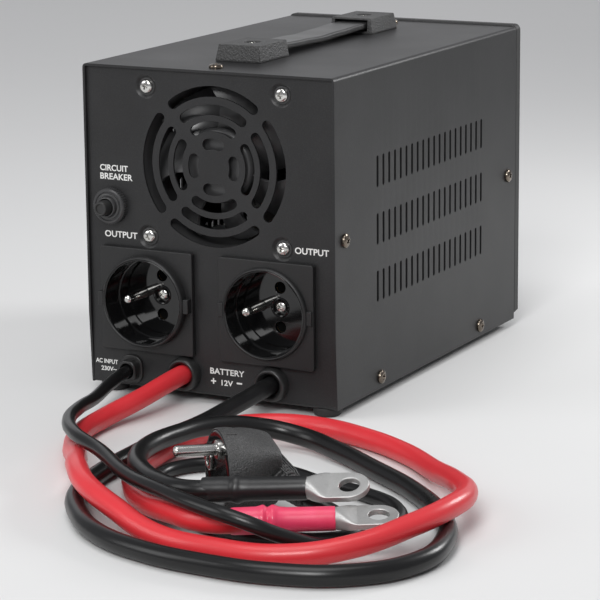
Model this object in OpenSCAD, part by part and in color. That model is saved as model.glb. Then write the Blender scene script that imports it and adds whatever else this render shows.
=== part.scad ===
// Power inverter with a carrying handle, a fan, two mains outlets, battery leads and a mains lead.
// +Z up. The origin is on the floor under the middle of the case, and -Y is the outlet side.

/* [Case] */
// Width of the case over the cover
case_w = 133; // [125:1:170]
// Depth of the cover
case_d = 210; // [190:1:260]
// Height of the case without its feet
case_h = 155; // [150:1:200]
// Sheet metal thickness
sheet = 1.2; // [0.8:0.1:2]
// How far the outlet panel sits back from the cover's edge
panel_recess = 1.6; // [0.5:0.1:4]
// Outer bend radius of the cover
cover_r = 2; // [1.5:0.5:4]
// Height of the stretch over which the cover's front lip tapers off
lip_taper_h = 35; // [10:1:60]
// Height of the chassis flanges inside the cover
flange_h = 14; // [10:1:20]

/* [Feet] */
// Foot diameter
foot_d = 14; // [10:1:20]
// Foot height
foot_h = 4; // [3:0.5:10]
// Distance of a foot's centre from the case's sides and ends
foot_inset = 9; // [8:1:20]

/* [Cover slots] */
// Slots in each row
slot_count = 20; // [4:1:30]
// Distance between slots
slot_pitch = 6.35; // [4:0.05:7]
// Slot width
slot_w = 2; // [1:0.1:3]
// Slot height
slot_h = 15; // [6:1:25]
// Distance between rows of slots
slot_row_pitch = 27.5; // [20:0.5:35]
// Height of the middle row above the case bottom
slot_mid_z = 78.2; // [60:0.1:100]

/* [Fascia] */
// Thickness of the fascia at the display end
fascia_t = 6; // [4:0.5:12]
// How far the fascia stands above the cover
fascia_over = 1; // [0:0.5:3]
// Height of the fascia's lower edge above the case bottom
fascia_lift = 1; // [0:0.5:6]
// Chamfer of the fascia's lower corners
fascia_chamfer = 3; // [2:1:15]
// Display window width
window_w = 46; // [30:1:60]
// Display window height
window_h = 24; // [16:1:32]
// Height of the display's centre above the case bottom
window_z = 108; // [70:1:120]

/* [Power button] */
// Diameter of the power button's cap
button_d = 12; // [8:1:16]
// How far the cap stands out of the fascia
button_proud = 1.5; // [1:0.5:4]
// Travel of the power button
button_travel = 2.5; // [1:0.5:4]
// Height of the button's centre above the case bottom
button_z = 70; // [40:1:80]
// Gap around the cap and the stem
button_gap = 0.4; // [0.3:0.1:1]

/* [Fan] */
// Side of the square fan frame
fan_size = 80; // [60:1:80]
// Depth of the fan frame
fan_t = 25; // [15:1:32]
// Distance between the fan's screw holes
fan_hole_pitch = 71.5; // [50:0.5:72]
// Fan centre, sideways
fan_x = 2.8; // [-10:0.1:10]
// Fan centre above the case bottom
fan_z = 109.8; // [105:0.1:112]
// Bore of the fan frame
fan_bore = 76; // [50:1:77]
// Blade tip diameter
fan_tip = 73; // [45:1:75]
// Hub diameter
fan_hub = 36; // [20:1:40]
// Number of blades
fan_blades = 7; // [3:1:9]
// Width of the grille's spokes
spoke_w = 5; // [3:0.5:8]

/* [Outlets] */
// Distance between the two outlets
outlet_pitch = 64; // [54:1:66]
// Middle of the pair of outlets, sideways
outlet_mid = -1.3; // [-3:0.1:3]
// Height of the outlets above the case bottom
outlet_z = 43.3; // [38:0.1:44]
// Side of the square outlet plate
plate_w = 50; // [48:1:52]
// Thickness of the outlet plate in front of the panel
plate_t = 3; // [2:0.5:5]
// Diameter of the plug recess
recess_d = 40; // [38:0.5:41]
// Depth of the plug recess from the plate's face
recess_depth = 15; // [10:0.5:18]
// How far the left outlet's collar stands out of its plate
collar_left = 4.5; // [1:0.5:6]
// How far the right outlet's collar stands out of its plate
collar_right = 2; // [1:0.5:6]
// Diameter of the contact holes
contact_d = 5.5; // [5:0.1:6]
// Distance between the contact holes
contact_pitch = 19; // [18:0.5:20]
// Diameter of the earth pin
earth_d = 4.8; // [4:0.1:5]
// Distance of the earth pin from the middle of the recess
earth_offset = 10; // [9:0.5:11]

/* [Breaker] */
// Breaker centre, sideways
breaker_x = -53; // [-54:0.5:-50]
// Breaker centre above the case bottom
breaker_z = 87.5; // [82:0.5:95]
// Diameter of the knurled nut
nut_d = 17.5; // [14:0.5:19]
// Thickness of the knurled nut
nut_t = 4; // [2:0.5:6]
// Diameter of the threaded bush
bush_d = 10; // [9:0.5:12]
// How far the bush stands in front of the nut
bush_proud = 2; // [1:0.5:4]
// Diameter of the reset button
reset_d = 7.4; // [5:0.1:8]
// How far the reset button stands in front of the bush
reset_proud = 6.5; // [3:0.5:8]
// How far the reset button springs out when the breaker trips
reset_travel = 4; // [2:0.5:5]

/* [Leads] */
// Diameter of the positive battery cable
plus_d = 9.4; // [8:0.1:10]
// Diameter of the negative battery cable
minus_d = 8.6; // [8:0.1:10]
// Diameter of the mains lead
mains_d = 6.2; // [5:0.1:7]
// Positive cable entry, sideways
plus_x = -14; // [-16:0.5:-12]
// Negative cable entry, sideways
minus_x = 33; // [30:0.5:36]
// Mains lead entry, sideways
mains_x = -43.5; // [-46:0.5:-42]
// Height of the battery cable entries above the case bottom
entry_z = 9.5; // [9:0.5:12]
// Height of the mains lead entry above the case bottom
mains_z = 8.5; // [8:0.5:12]
// Outer diameter of a grommet
grommet_d = 16.6; // [14:0.1:18]
// How far a grommet stands out of the panel
grommet_proud = 5.5; // [3:0.5:8]
// Bolt hole of the cable lugs
lug_hole_d = 8.4; // [6.4:0.1:10.5]
// Width of the lug palms
lug_w = 16; // [14:0.5:20]
// Thickness of the lug palms
lug_t = 2.6; // [2:0.1:4]
// Diameter of the plug's pins
pin_d = 4.8; // [4:0.1:5]
// Length of the plug's pins
pin_l = 19; // [17:0.5:20]
// Diameter of the plug's face
plug_d = 35; // [32:1:38]

/* [Handle] */
// Length of the handle over its end caps
handle_l = 150; // [110:1:170]
// Height of the end caps
cap_h = 8; // [8:0.5:14]
// Length of an end cap
cap_l = 30; // [25:1:40]
// Width of an end cap
cap_w = 24; // [22:1:32]
// Strap width
strap_w = 17; // [14:1:20]
// Strap thickness
strap_t = 3.5; // [3:0.5:5]
// Gap between the strap and the cover
strap_lift = 2.4; // [2:0.1:4]
// Angle of each half of the strap when the handle is pulled up
lift_angle = 13; // [5:1:14]

/* [Hidden] */
$fn = 48;
eps = 0.01;

// How far the reset button reaches in front of the cover's edge
breaker_reach = nut_t + bush_proud + reset_proud - panel_recess;
// The cover's front edge, with the object's bounding box centred on the origin
front_y = -(case_d + fascia_t + button_proud - breaker_reach) / 2;
inner_w = case_w - 2 * sheet;
inner_h = case_h - sheet;
panel_y = panel_recess;
panel_back = panel_recess + sheet;
back_panel_y = case_d - sheet;
slot_mid_y = case_d / 2;
side_screw_high = [[9.8, 79], [case_d - 10.5, 78.5]];
side_screw_low = [[47.5, 6], [case_d - 45.5, 6]];
top_screw_y = 10.5;
screw_r = 1.5;
screw_gap = 0.1;
plus_r = plus_d / 2;
minus_r = minus_d / 2;
mains_r = mains_d / 2;

// Rings of the fan grille: inner and outer radius
grille = [[33, 38], [24.5, 29.4], [16.8, 21.6], [8.3, 13.5]];

// Handle
handle_mid = case_d / 2 + 1;
handle_y0 = handle_mid - handle_l / 2;
handle_y1 = handle_mid + handle_l / 2;
near_mouth = handle_y0 + cap_l;
far_mouth = handle_y1 - cap_l;
strap_mid_z = case_h + strap_lift + strap_t / 2;
strap_tongue = 4;
mouth_depth = 7;
mouth_gap = 1.2;
strap_gap = 1.4;
cap_slope = 1.1;

// Where the cables start, inside the case, on the battery terminals' front face
lead_start_y = -91;

// Routes: points along the middle of each lead, on the floor or on what lies under it
plus_route = [
    [-14, -91, 13.5], [-14, -110, 13.3], [-18, -138, 9], [-23, -162, 5.2], [-20, -187, 4.8],
    [-8, -212, 5.5], [9, -236, 9.8], [23, -258, 13.5], [41, -279, 13.5], [62, -293, 11],
    [88, -304, 6], [116, -307, 5], [144, -302.5, 5], [167, -288, 8], [181, -266.5, 12],
    [187, -243, 13.6], [184, -220, 12.5], [170, -199, 10], [150, -176, 6], [126, -154, 4.8],
    [98, -139, 4.8], [71, -132, 4.8], [48, -137, 4.8], [34, -152, 4.8], [29, -176, 4.8],
    [29, -203, 4.8], [33, -227, 4.8], [45, -249, 4.8], [62, -269, 6.5], [84, -286, 10],
    [108, -294, 11.3], [126.2, -285, 11.8]
];
minus_route = [
    [33, -91, 13.5], [33, -108, 13.2], [28, -125, 9.5], [22, -148, 5], [19, -176, 4.4],
    [19, -208, 4.4], [21, -238, 4.4], [28, -266, 4.4], [43, -289, 4.4], [64, -308, 4.4],
    [90, -319, 4.4], [120, -323, 4.4], [150, -321, 4.4], [176, -310, 4.4], [192, -288, 4.4],
    [192, -260, 4.4], [177, -229, 4.4], [152, -202, 4.4], [124, -181, 4.4], [97, -163, 4.8],
    [74, -154, 6.5], [56, -160, 10], [43, -177, 13.2], [36, -199, 13.8], [35, -221, 13.8],
    [41, -239, 13.8], [54, -255, 14], [70, -268, 15], [86, -274.8, 16.1], [103.5, -269.7, 17.3]
];
mains_route = [
    [-43.5, -91, 12.5], [-43.5, -107, 12.3], [-41, -127, 11], [-35, -150, 10.5], [-27, -177, 13],
    [-15, -204, 15.5], [3, -227, 17.3], [25, -243, 17], [55, -270, 17.2], [80, -287, 18.8],
    [104, -299, 19], [125, -302, 16.5], [141, -293, 9], [152, -282, 4], [162, -266, 3.2],
    [164, -243, 3.2], [153, -222, 3.2], [134, -211, 3.2], [112, -205, 3.2], [92, -197, 3.2],
    [73, -194, 3.2], [56, -199, 3.2], [45, -210, 3.2], [43, -226, 3.2], [52, -243, 3.2],
    [66, -258, 3.2], [84, -271, 3.2], [103, -278.5, 3.2], [120, -281, 3.2], [135, -278.5, 3.2],
    [147.5, -272.5, 3.2], [154, -263, 3.2], [151.5, -254, 4], [140, -249.3, 6.5], [126, -247.5, 10]
];

// Lug ends: place, turn about Z, rise and roll of each lug's axis, and lengths along it
plus_end = [[114.6, -290.8, 11.5], 27, 1.3, 11];
minus_end = [[92, -273, 16.5], 16, 4, 22];
plus_sleeve_l = 41;
minus_sleeve_l = 43;
lug_hole_at = 17;
barrel_r = 4.2;

// Plug: centre of its face, turn about Z, rise and roll
plug_at = [86, -251.2, 18];
plug_turn = 46;
plug_rise = -3;
plug_roll = 100;
relief_root = [101, -237.5, 17];
relief_tip = mains_route[len(mains_route) - 1];

function unit(v) = v / norm(v);
// Direction of a route at point i
function heading(p, i) =
    i == 0 ? unit(p[1] - p[0])
    : i == len(p) - 1 ? unit(p[i] - p[i - 1])
    : unit(unit(p[i + 1] - p[i]) + unit(p[i] - p[i - 1]));
// Ring of n points of radius r round point i of a route
function ring(p, i, r, n) =
    let (t = heading(p, i), s = unit(cross(t, [0, 0, 1])), u = cross(s, t))
    [for (k = [0:n - 1]) p[i] + r * (cos(360 * (k + 0.5) / n) * s + sin(360 * (k + 0.5) / n) * u)];

// A tube along a route
module tube(p, r, n = 8) {
    last = n * (len(p) - 1);
    polyhedron(
        points = [for (i = [0:len(p) - 1]) each ring(p, i, r, n)],
        faces = concat(
            [[for (k = [0:n - 1]) k]],
            [for (i = [0:len(p) - 2], k = [0:n - 1])
                [i * n + k, (i + 1) * n + k, (i + 1) * n + (k + 1) % n, i * n + (k + 1) % n]],
            [[for (k = [n - 1:-1:0]) last + k]]
        )
    );
}

// From the case's own frame, with Y = 0 at the cover's front edge and Z = 0 at the case bottom
module in_case() translate([0, front_y, foot_h]) children();
// A rod along +Y
module rod_y(r, l) rotate([-90, 0, 0]) cylinder(r = r, h = l);
// A rod along +X
module rod_x(r, l) rotate([0, 90, 0]) cylinder(r = r, h = l);
module copies_x(x) for (s = [-1, 1]) scale([s, 1, 1]) translate([x, 0, 0]) children();

// Pan head screw along +Z from its seat: head below zero, shank above
module pan_screw(head_r, head_h, shank_r, l) {
    difference() {
        translate([0, 0, -head_h]) cylinder(r1 = head_r * 0.72, r2 = head_r, h = head_h);
        translate([-head_r * 0.55, -0.5, -head_h - eps]) cube([head_r * 1.1, 1, head_h * 0.55]);
        translate([-0.5, -head_r * 0.55, -head_h - eps]) cube([1, head_r * 1.1, head_h * 0.55]);
    }
    cylinder(r = shank_r, h = l);
}

// ---- Case ----
module grille_cut(depth)
    rotate([-90, 0, 0]) linear_extrude(depth) difference() {
        for (r = grille) difference() {
            circle(r = r[1]);
            circle(r = r[0]);
        }
        for (a = [45, 135]) rotate(a) square([100, spoke_w], center = true);
    }

module fan_corners() for (sx = [-1, 1], sz = [-1, 1])
    translate([fan_x + sx * fan_hole_pitch / 2, 0, fan_z + sz * fan_hole_pitch / 2]) children();

outlet_x = [outlet_mid - outlet_pitch / 2, outlet_mid + outlet_pitch / 2];

module outlet_panel() difference() {
    translate([-inner_w / 2, panel_y, 0]) cube([inner_w, sheet, inner_h]);
    translate([fan_x, panel_y - 1, fan_z]) grille_cut(sheet + 2);
    fan_corners() translate([0, panel_y - 1, 0]) rod_y(screw_r + 0.5, sheet + 2);
    for (x = outlet_x) translate([x - plate_w / 2 + 2, panel_y - 1, outlet_z - plate_w / 2 + 2])
        cube([plate_w - 4, sheet + 2, plate_w - 4]);
    translate([breaker_x, panel_y - 1, breaker_z]) rod_y(bush_d / 2 + 0.1, sheet + 2);
    for (x = [plus_x, minus_x]) translate([x, panel_y - 1, entry_z])
        rod_y(grommet_d / 2 - 1.5, sheet + 2);
    translate([mains_x - 4.6, panel_y - 1, mains_z - 5]) cube([9.2, sheet + 2, 10]);
}

module display_panel() difference() {
    translate([-inner_w / 2, back_panel_y, 0]) cube([inner_w, sheet, inner_h]);
    translate([-window_w / 2, back_panel_y - 1, window_z - window_h / 2])
        cube([window_w, sheet + 2, window_h]);
    translate([0, back_panel_y - 1, button_z]) rod_y(button_d / 2 + button_gap, sheet + 2);
    for (x = [-1, 1], z = [16, case_h - 12])
        translate([x * (case_w / 2 - 14), back_panel_y - 1, z]) rod_y(screw_r + screw_gap, sheet + 2);
}

module side_screw_places() for (s = [-1, 1], p = concat(side_screw_high, side_screw_low))
    scale([s, 1, 1]) translate([case_w / 2, p[0], p[1]]) rotate([0, -90, 0]) children();

module top_screw_places() for (y = [top_screw_y, case_d - top_screw_y])
    translate([0, y, case_h]) rotate([180, 0, 0]) children();

module chassis() color([0.09, 0.09, 0.1]) in_case() difference() {
    union() {
        translate([-inner_w / 2, panel_y, 0]) cube([inner_w, case_d - panel_y, sheet]);
        outlet_panel();
        display_panel();
        copies_x(inner_w / 2 - sheet) {
            translate([0, panel_y, 0]) cube([sheet, case_d - panel_y, flange_h]);
            for (y = [panel_y, case_d - 18]) translate([0, y, 60]) cube([sheet, 18, 38]);
        }
        for (y = [panel_y, case_d - 18]) translate([-12, y, inner_h - sheet]) cube([24, 18, sheet]);
    }
    side_screw_places() translate([0, 0, -1]) cylinder(r = screw_r + screw_gap, h = 8);
    top_screw_places() translate([0, 0, -1]) cylinder(r = screw_r + screw_gap, h = 8);
    foot_places() translate([0, 0, -1]) cylinder(r = screw_r + screw_gap, h = 8);
}

module cover_section() difference() {
    union() {
        translate([-case_w / 2, 0]) square([case_w, case_h - cover_r]);
        translate([-case_w / 2 + cover_r, 0]) square([case_w - 2 * cover_r, case_h]);
        for (s = [-1, 1]) translate([s * (case_w / 2 - cover_r), case_h - cover_r])
            circle(r = cover_r);
    }
    translate([-inner_w / 2, -1]) square([inner_w, inner_h + 1]);
}

module slot2d() {
    translate([-slot_w / 2, -(slot_h - slot_w) / 2]) square([slot_w, slot_h - slot_w]);
    for (s = [-1, 1]) translate([0, s * (slot_h - slot_w) / 2]) circle(r = slot_w / 2);
}

module cover_shell() color([0.07, 0.07, 0.075]) in_case() difference() {
    translate([0, case_d, 0]) rotate([90, 0, 0]) linear_extrude(case_d) cover_section();
    rotate([90, 0, 90]) translate([slot_mid_y, slot_mid_z, -case_w]) linear_extrude(2 * case_w)
        for (i = [0:slot_count - 1], r = [-1, 0, 1])
            translate([(i - (slot_count - 1) / 2) * slot_pitch, r * slot_row_pitch]) slot2d();
    // Front lip taper
    rotate([90, 0, 90]) translate([0, 0, -case_w]) linear_extrude(2 * case_w)
        polygon([[-1, -1], [panel_recess, -1], [panel_recess, 0], [0, lip_taper_h],
            [-1, lip_taper_h]]);
    side_screw_places() translate([0, 0, -1]) cylinder(r = screw_r + screw_gap, h = 8);
    top_screw_places() translate([0, 0, -1]) cylinder(r = screw_r + screw_gap, h = 8);
    handle_screw_places() translate([0, 0, -1]) cylinder(r = screw_r + screw_gap, h = 8);
}

module cover_screws() color([0.3, 0.27, 0.24]) in_case() {
    side_screw_places() pan_screw(3.4, 2, screw_r, 3.6);
    top_screw_places() pan_screw(3.4, 2, screw_r, 3.6);
}

// The feet at the display end stand closer together
module foot_places() for (sx = [-1, 1], p = [[0, foot_inset], [11.5, case_d - foot_inset]])
    translate([sx * (case_w / 2 - foot_inset - p[0]), p[1], 0]) children();

module feet() color([0.05, 0.05, 0.05]) in_case() foot_places() difference() {
    translate([0, 0, -foot_h]) cylinder(r1 = foot_d / 2 - 0.6, r2 = foot_d / 2, h = foot_h);
    translate([0, 0, -foot_h - 1]) cylinder(r = 3.4, h = 2.8);
    translate([0, 0, -foot_h - 1]) cylinder(r = screw_r + screw_gap, h = foot_h + 2);
}

module foot_screws() color([0.7, 0.7, 0.72]) in_case() foot_places() {
    translate([0, 0, -foot_h + 1.8]) cylinder(r = screw_r, h = foot_h + 2.5);
    translate([0, 0, -foot_h + 0.4]) cylinder(r = 3, h = 1.4);
    translate([0, 0, sheet]) cylinder(r = 3, h = 1.6, $fn = 6);
}

// ---- Display end ----
fascia_h = case_h + fascia_over - fascia_lift;

module front_fascia() color([0.06, 0.06, 0.06]) in_case() difference() {
    translate([0, case_d + fascia_t, 0]) rotate([90, 0, 0]) linear_extrude(fascia_t) polygon([
        [-case_w / 2 + fascia_chamfer, fascia_lift], [case_w / 2 - fascia_chamfer, fascia_lift],
        [case_w / 2, fascia_lift + fascia_chamfer], [case_w / 2, fascia_lift + fascia_h],
        [-case_w / 2, fascia_lift + fascia_h], [-case_w / 2, fascia_lift + fascia_chamfer]]);
    translate([-window_w / 2, case_d - 1, window_z - window_h / 2])
        cube([window_w, fascia_t + 2, window_h]);
    translate([0, case_d - 1, button_z]) rod_y(button_d / 2 + button_gap, fascia_t + 2);
    fascia_screw_places() {
        translate([0, 0, -1]) cylinder(r = screw_r + screw_gap, h = fascia_t + 2);
        translate([0, 0, -1]) cylinder(r = 3.3, h = 3);
    }
}

module fascia_screw_places() for (x = [-1, 1], z = [16, case_h - 12])
    translate([x * (case_w / 2 - 14), case_d + fascia_t, z]) rotate([90, 0, 0]) children();

module fascia_screws() color([0.15, 0.15, 0.16]) in_case()
    fascia_screw_places() translate([0, 0, 2]) pan_screw(2.9, 1.6, screw_r, fascia_t + 3);

module display_window() color([0.05, 0.07, 0.08]) in_case()
    translate([-window_w / 2, case_d + fascia_t - 2.4, window_z - window_h / 2])
        cube([window_w, 2, window_h]);

module display_board() color([0.1, 0.35, 0.2]) in_case() {
    translate([-window_w / 2 - 6, back_panel_y - 12, window_z - window_h / 2 - 6])
        cube([window_w + 12, 1.6, window_h + 12]);
    translate([-window_w / 2 + 1, back_panel_y - 10.4, window_z - window_h / 2 + 1])
        cube([window_w - 2, 12, window_h - 2]);
    for (sx = [-1, 1], sz = [-1, 1])
        translate([sx * (window_w / 2 + 3.2), back_panel_y - 10.4, window_z + sz * (window_h / 2 + 3.2)])
            rod_y(2.4, 10.4);
}

module power_button() color([0.75, 0.08, 0.06]) in_case() translate([0, 0, button_z]) {
    translate([0, case_d + fascia_t - 4, 0]) rod_y(button_d / 2, 4 + button_proud);
    translate([0, back_panel_y - 8, 0]) rod_y(2, fascia_t + sheet + 4 + eps);
}

module power_switch() color([0.12, 0.12, 0.13]) in_case() difference() {
    translate([-8, back_panel_y - 14, button_z - 8]) cube([16, 14, 16]);
    translate([0, back_panel_y - 8 - button_travel - 0.5, button_z])
        rod_y(2 + button_gap, 10 + button_travel);
}

// ---- Fan ----
module fan_frame() color([0.1, 0.1, 0.1]) in_case() translate([fan_x, panel_back, fan_z]) {
    difference() {
        translate([-fan_size / 2, 0, -fan_size / 2]) cube([fan_size, fan_t, fan_size]);
        translate([0, -1, 0]) rod_y(fan_bore / 2, fan_t + 2);
        for (sx = [-1, 1], sz = [-1, 1])
            translate([sx * fan_hole_pitch / 2, -1, sz * fan_hole_pitch / 2])
                rod_y(screw_r + screw_gap, fan_t + 2);
        // Open corners between the two flanges
        for (sx = [-1, 1], sz = [-1, 1])
            translate([sx * fan_size / 2 - 7, 4, sz * fan_size / 2 - 7]) cube([14, fan_t - 8, 14]);
    }
    // Motor holder and its struts
    difference() {
        union() {
            translate([0, fan_t - 3, 0]) rod_y(fan_hub / 2, 3);
            for (a = [45:90:315]) rotate([0, a, 0])
                translate([fan_hub / 2 - 1, fan_t - 3, -1.5]) cube([fan_bore / 2 - fan_hub / 2 + 2, 3, 3]);
        }
        translate([0, fan_t - 4, 0]) rod_y(2.6, 5);
    }
}

module fan_rotor() color([0.13, 0.13, 0.14]) in_case() translate([fan_x, panel_back, fan_z]) {
    difference() {
        translate([0, 2.5, 0]) rod_y(fan_hub / 2, fan_t - 6.5);
        translate([0, 4.5, 0]) rod_y(fan_hub / 2 - 1.5, fan_t);
    }
    translate([0, 4.4, 0]) rod_y(2.2, fan_t - 5);
    intersection() {
        for (i = [0:fan_blades - 1]) rotate([0, 360 * i / fan_blades, 0])
            translate([fan_hub / 2 - 0.8, fan_t / 2 - 1, 0]) rotate([38, 0, 0])
                translate([0, -9, -0.7]) cube([fan_tip / 2, 18, 1.4]);
        difference() {
            translate([0, 2.6, 0]) rod_y(fan_tip / 2, fan_t - 6.7);
            translate([0, 1, 0]) rod_y(fan_hub / 2 - 0.7, fan_t);
        }
    }
}

module fan_screws() color([0.82, 0.82, 0.84]) in_case()
    fan_corners() translate([0, panel_y, 0]) rotate([-90, 0, 0]) pan_screw(3.8, 2.4, screw_r, 10);

// ---- Outlets: s is 0 for the left one and 1 for the right one ----
module at_outlet(s) in_case() translate([outlet_x[s], panel_y, outlet_z]) children();
recess_floor = recess_depth - plate_t;

module outlet_cover(s, collar) color([0.06, 0.06, 0.065]) at_outlet(s) difference() {
    union() {
        translate([-plate_w / 2, -plate_t, -plate_w / 2]) cube([plate_w, plate_t, plate_w]);
        translate([0, -plate_t - collar, 0]) rod_y(recess_d / 2 + 2.5, plate_t + collar);
        translate([0, -eps, 0]) rod_y(recess_d / 2 + 2, recess_floor + 2 + eps);
    }
    translate([0, -plate_t - collar - 1, 0]) rod_y(recess_d / 2, plate_t + collar + recess_floor + 1);
    for (z = [-1, 1]) translate([0, 0, z * contact_pitch / 2]) rod_y(contact_d / 2, 20);
    translate([-earth_offset, 0, 0]) rod_y(earth_d / 2 - 0.4, 20);
    rod_y(screw_r + screw_gap, 20);
}

module outlet_base(s) color([0.85, 0.83, 0.78]) at_outlet(s) difference() {
    translate([-20, recess_floor + 2, -20]) cube([40, 12, 40]);
    for (z = [-1, 1]) translate([-4, recess_floor + 1.9, z * contact_pitch / 2 - 4])
        cube([8, 10.1, 8]);
    translate([-earth_offset, 0, 0]) rod_y(earth_d / 2 - 0.4, recess_floor + 4.4);
    rod_y(screw_r + screw_gap, 24);
}

module outlet_earth_pin(s) color([0.8, 0.7, 0.4]) at_outlet(s) translate([-earth_offset, 0, 0]) {
    translate([0, 0.4 - plate_t, 0]) rod_y(earth_d / 2, recess_floor + plate_t - 0.4);
    translate([0, 0.4 - plate_t, 0]) rod_y(earth_d / 2 - 0.5, recess_floor + plate_t + 4);
    translate([0, 0.4 - plate_t, 0]) sphere(r = earth_d / 2);
}

module outlet_contacts(s) color([0.8, 0.65, 0.35]) at_outlet(s)
    for (z = [-1, 1]) translate([0, recess_floor + 2, z * contact_pitch / 2]) difference() {
        rod_y(3.6, 10);
        translate([0, -1, 0]) rod_y(contact_d / 2, 9);
        translate([-5, -1, -0.4]) cube([10, 8, 0.8]);
    }

module outlet_screw(s) color([0.8, 0.8, 0.82]) at_outlet(s)
    translate([0, recess_floor, 0]) rotate([-90, 0, 0]) pan_screw(2.9, 1.8, screw_r, 12);

module outlet_left_cover() outlet_cover(0, collar_left);
module outlet_left_base() outlet_base(0);
module outlet_left_earth_pin() outlet_earth_pin(0);
module outlet_left_contacts() outlet_contacts(0);
module outlet_left_screw() outlet_screw(0);
module outlet_right_cover() outlet_cover(1, collar_right);
module outlet_right_base() outlet_base(1);
module outlet_right_earth_pin() outlet_earth_pin(1);
module outlet_right_contacts() outlet_contacts(1);
module outlet_right_screw() outlet_screw(1);

// ---- Breaker ----
module at_breaker() in_case() translate([breaker_x, panel_y, breaker_z]) children();
breaker_bore = reset_d / 2 + 0.35;

module breaker_body() color([0.1, 0.1, 0.11]) at_breaker() difference() {
    union() {
        translate([0, -nut_t - bush_proud, 0]) rod_y(bush_d / 2, nut_t + bush_proud + sheet + eps);
        translate([-9, sheet, -16]) cube([18, 24, 32]);
    }
    translate([0, -nut_t - bush_proud - 1, 0]) rod_y(breaker_bore, nut_t + bush_proud + 9);
}

module breaker_nut() color([0.05, 0.05, 0.05]) at_breaker() difference() {
    translate([0, -nut_t, 0]) rod_y(nut_d / 2, nut_t);
    translate([0, -nut_t - 1, 0]) rod_y(bush_d / 2, nut_t + 2);
}

module breaker_button() color([0.08, 0.08, 0.08]) at_breaker()
    translate([0, -nut_t - bush_proud - reset_proud, 0])
        rod_y(reset_d / 2, reset_proud + bush_proud + nut_t + 7);

module breaker_terminals() color([0.8, 0.65, 0.35]) at_breaker()
    for (z = [-1, 1]) translate([-3.2, sheet + 24, z * 9 - 0.4]) cube([6.4, 9, 0.8]);

// ---- Cable entries ----
module grommet(x, r) color([0.05, 0.05, 0.05]) in_case() translate([x, panel_y, entry_z])
    difference() {
        union() {
            translate([0, -grommet_proud + 2, 0]) rod_y(grommet_d / 2, grommet_proud - 2);
            translate([0, -grommet_proud, 0]) rotate([-90, 0, 0])
                cylinder(r1 = grommet_d / 2 - 1.6, r2 = grommet_d / 2, h = 2);
            translate([0, -eps, 0]) rod_y(grommet_d / 2 - 1.5, sheet + 2 * eps);
            translate([0, sheet, 0]) rod_y(grommet_d / 2 - 0.4, 1.8);
        }
        translate([0, -grommet_proud - 1, 0]) rod_y(r + 0.1, grommet_proud + sheet + 4);
    }

module positive_grommet() grommet(plus_x, plus_r);
module negative_grommet() grommet(minus_x, minus_r);

module mains_gland() color([0.05, 0.05, 0.05]) in_case() translate([mains_x, panel_y, mains_z])
    difference() {
        union() {
            translate([-6, -1.6, -7]) cube([12, 1.6, 14]);
            translate([-4.6, -6, -5]) cube([9.2, 6 + sheet + 5, 10]);
        }
        translate([0, -7, 0]) rod_y(mains_r + 0.1, 20);
    }

// ---- Leads ----
module mains_lead() color([0.07, 0.07, 0.07]) tube(mains_route, mains_r);
module positive_cable() color([0.85, 0.05, 0.08]) tube(plus_route, plus_r);
module negative_cable() color([0.06, 0.06, 0.06]) tube(minus_route, minus_r);

// To a lug's own frame, with +X along its axis from the sleeve's open end
module at_end(e) translate(e[0]) rotate([0, -e[2], e[1]]) rotate([e[3], 0, 0]) children();

module sleeve(e, l, r) at_end(e) rotate([0, 90, 0]) difference() {
    union() {
        cylinder(r1 = r + 1.5, r2 = r + 1.1, h = 13);
        translate([0, 0, 13]) cylinder(r = r + 0.6, h = 3);
        translate([0, 0, 16]) cylinder(r1 = r + 1.2, r2 = barrel_r + 0.7, h = 8);
        translate([0, 0, 24]) cylinder(r = barrel_r + 0.7, h = l - 24);
    }
    translate([0, 0, -1]) cylinder(r = r + 0.2, h = 19);
    translate([0, 0, 17]) cylinder(r = barrel_r, h = l);
}

module lug(e, l) at_end(e) difference() {
    union() {
        translate([19, 0, 0]) rod_x(barrel_r, l - 19 + 3);
        translate([l, -lug_w / 2, -lug_t / 2]) cube([lug_hole_at, lug_w, lug_t]);
        translate([l + lug_hole_at, 0, -lug_t / 2]) cylinder(r = lug_w / 2, h = lug_t);
    }
    translate([l + lug_hole_at, 0, -lug_t]) cylinder(r = lug_hole_d / 2, h = 2 * lug_t);
    translate([18, 0, 0]) rod_x(barrel_r - 1.2, 18);
}

module positive_sleeve() color([0.95, 0.3, 0.38]) sleeve(plus_end, plus_sleeve_l, plus_r);
module negative_sleeve() color([0.1, 0.1, 0.1]) sleeve(minus_end, minus_sleeve_l, minus_r);
module positive_lug() color([0.8, 0.8, 0.8]) lug(plus_end, plus_sleeve_l);
module negative_lug() color([0.8, 0.8, 0.8]) lug(minus_end, minus_sleeve_l);

// ---- Mains plug: +X from its face towards the lead ----
module at_plug() translate(plug_at) rotate([0, -plug_rise, plug_turn]) rotate([plug_roll, 0, 0])
    children();

module plug_body() color([0.08, 0.08, 0.08]) difference() {
    union() {
        at_plug() {
            rod_x(plug_d / 2, 7);
            translate([7, 0, 0]) rotate([0, 90, 0])
                cylinder(r1 = plug_d / 2 - 1, r2 = plug_d / 2 - 5, h = 14);
            translate([21, 0, 0]) rotate([0, 90, 0])
                cylinder(r1 = plug_d / 2 - 5, r2 = 6, h = 6);
        }
        d = relief_tip - relief_root;
        translate(relief_root) rotate([0, acos(d[2] / norm(d)), atan2(d[1], d[0])])
            cylinder(r1 = 7, r2 = mains_r + 1.2, h = norm(d));
    }
    at_plug() {
        for (y = [-1, 1]) translate([-1, y * contact_pitch / 2, 0]) rod_x(pin_d / 2 - 0.5, 11);
        for (z = [-1, 1]) translate([-1, -3.5, z * (plug_d / 2 - 1) - 1.5]) cube([9, 7, 3]);
    }
}

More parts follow.
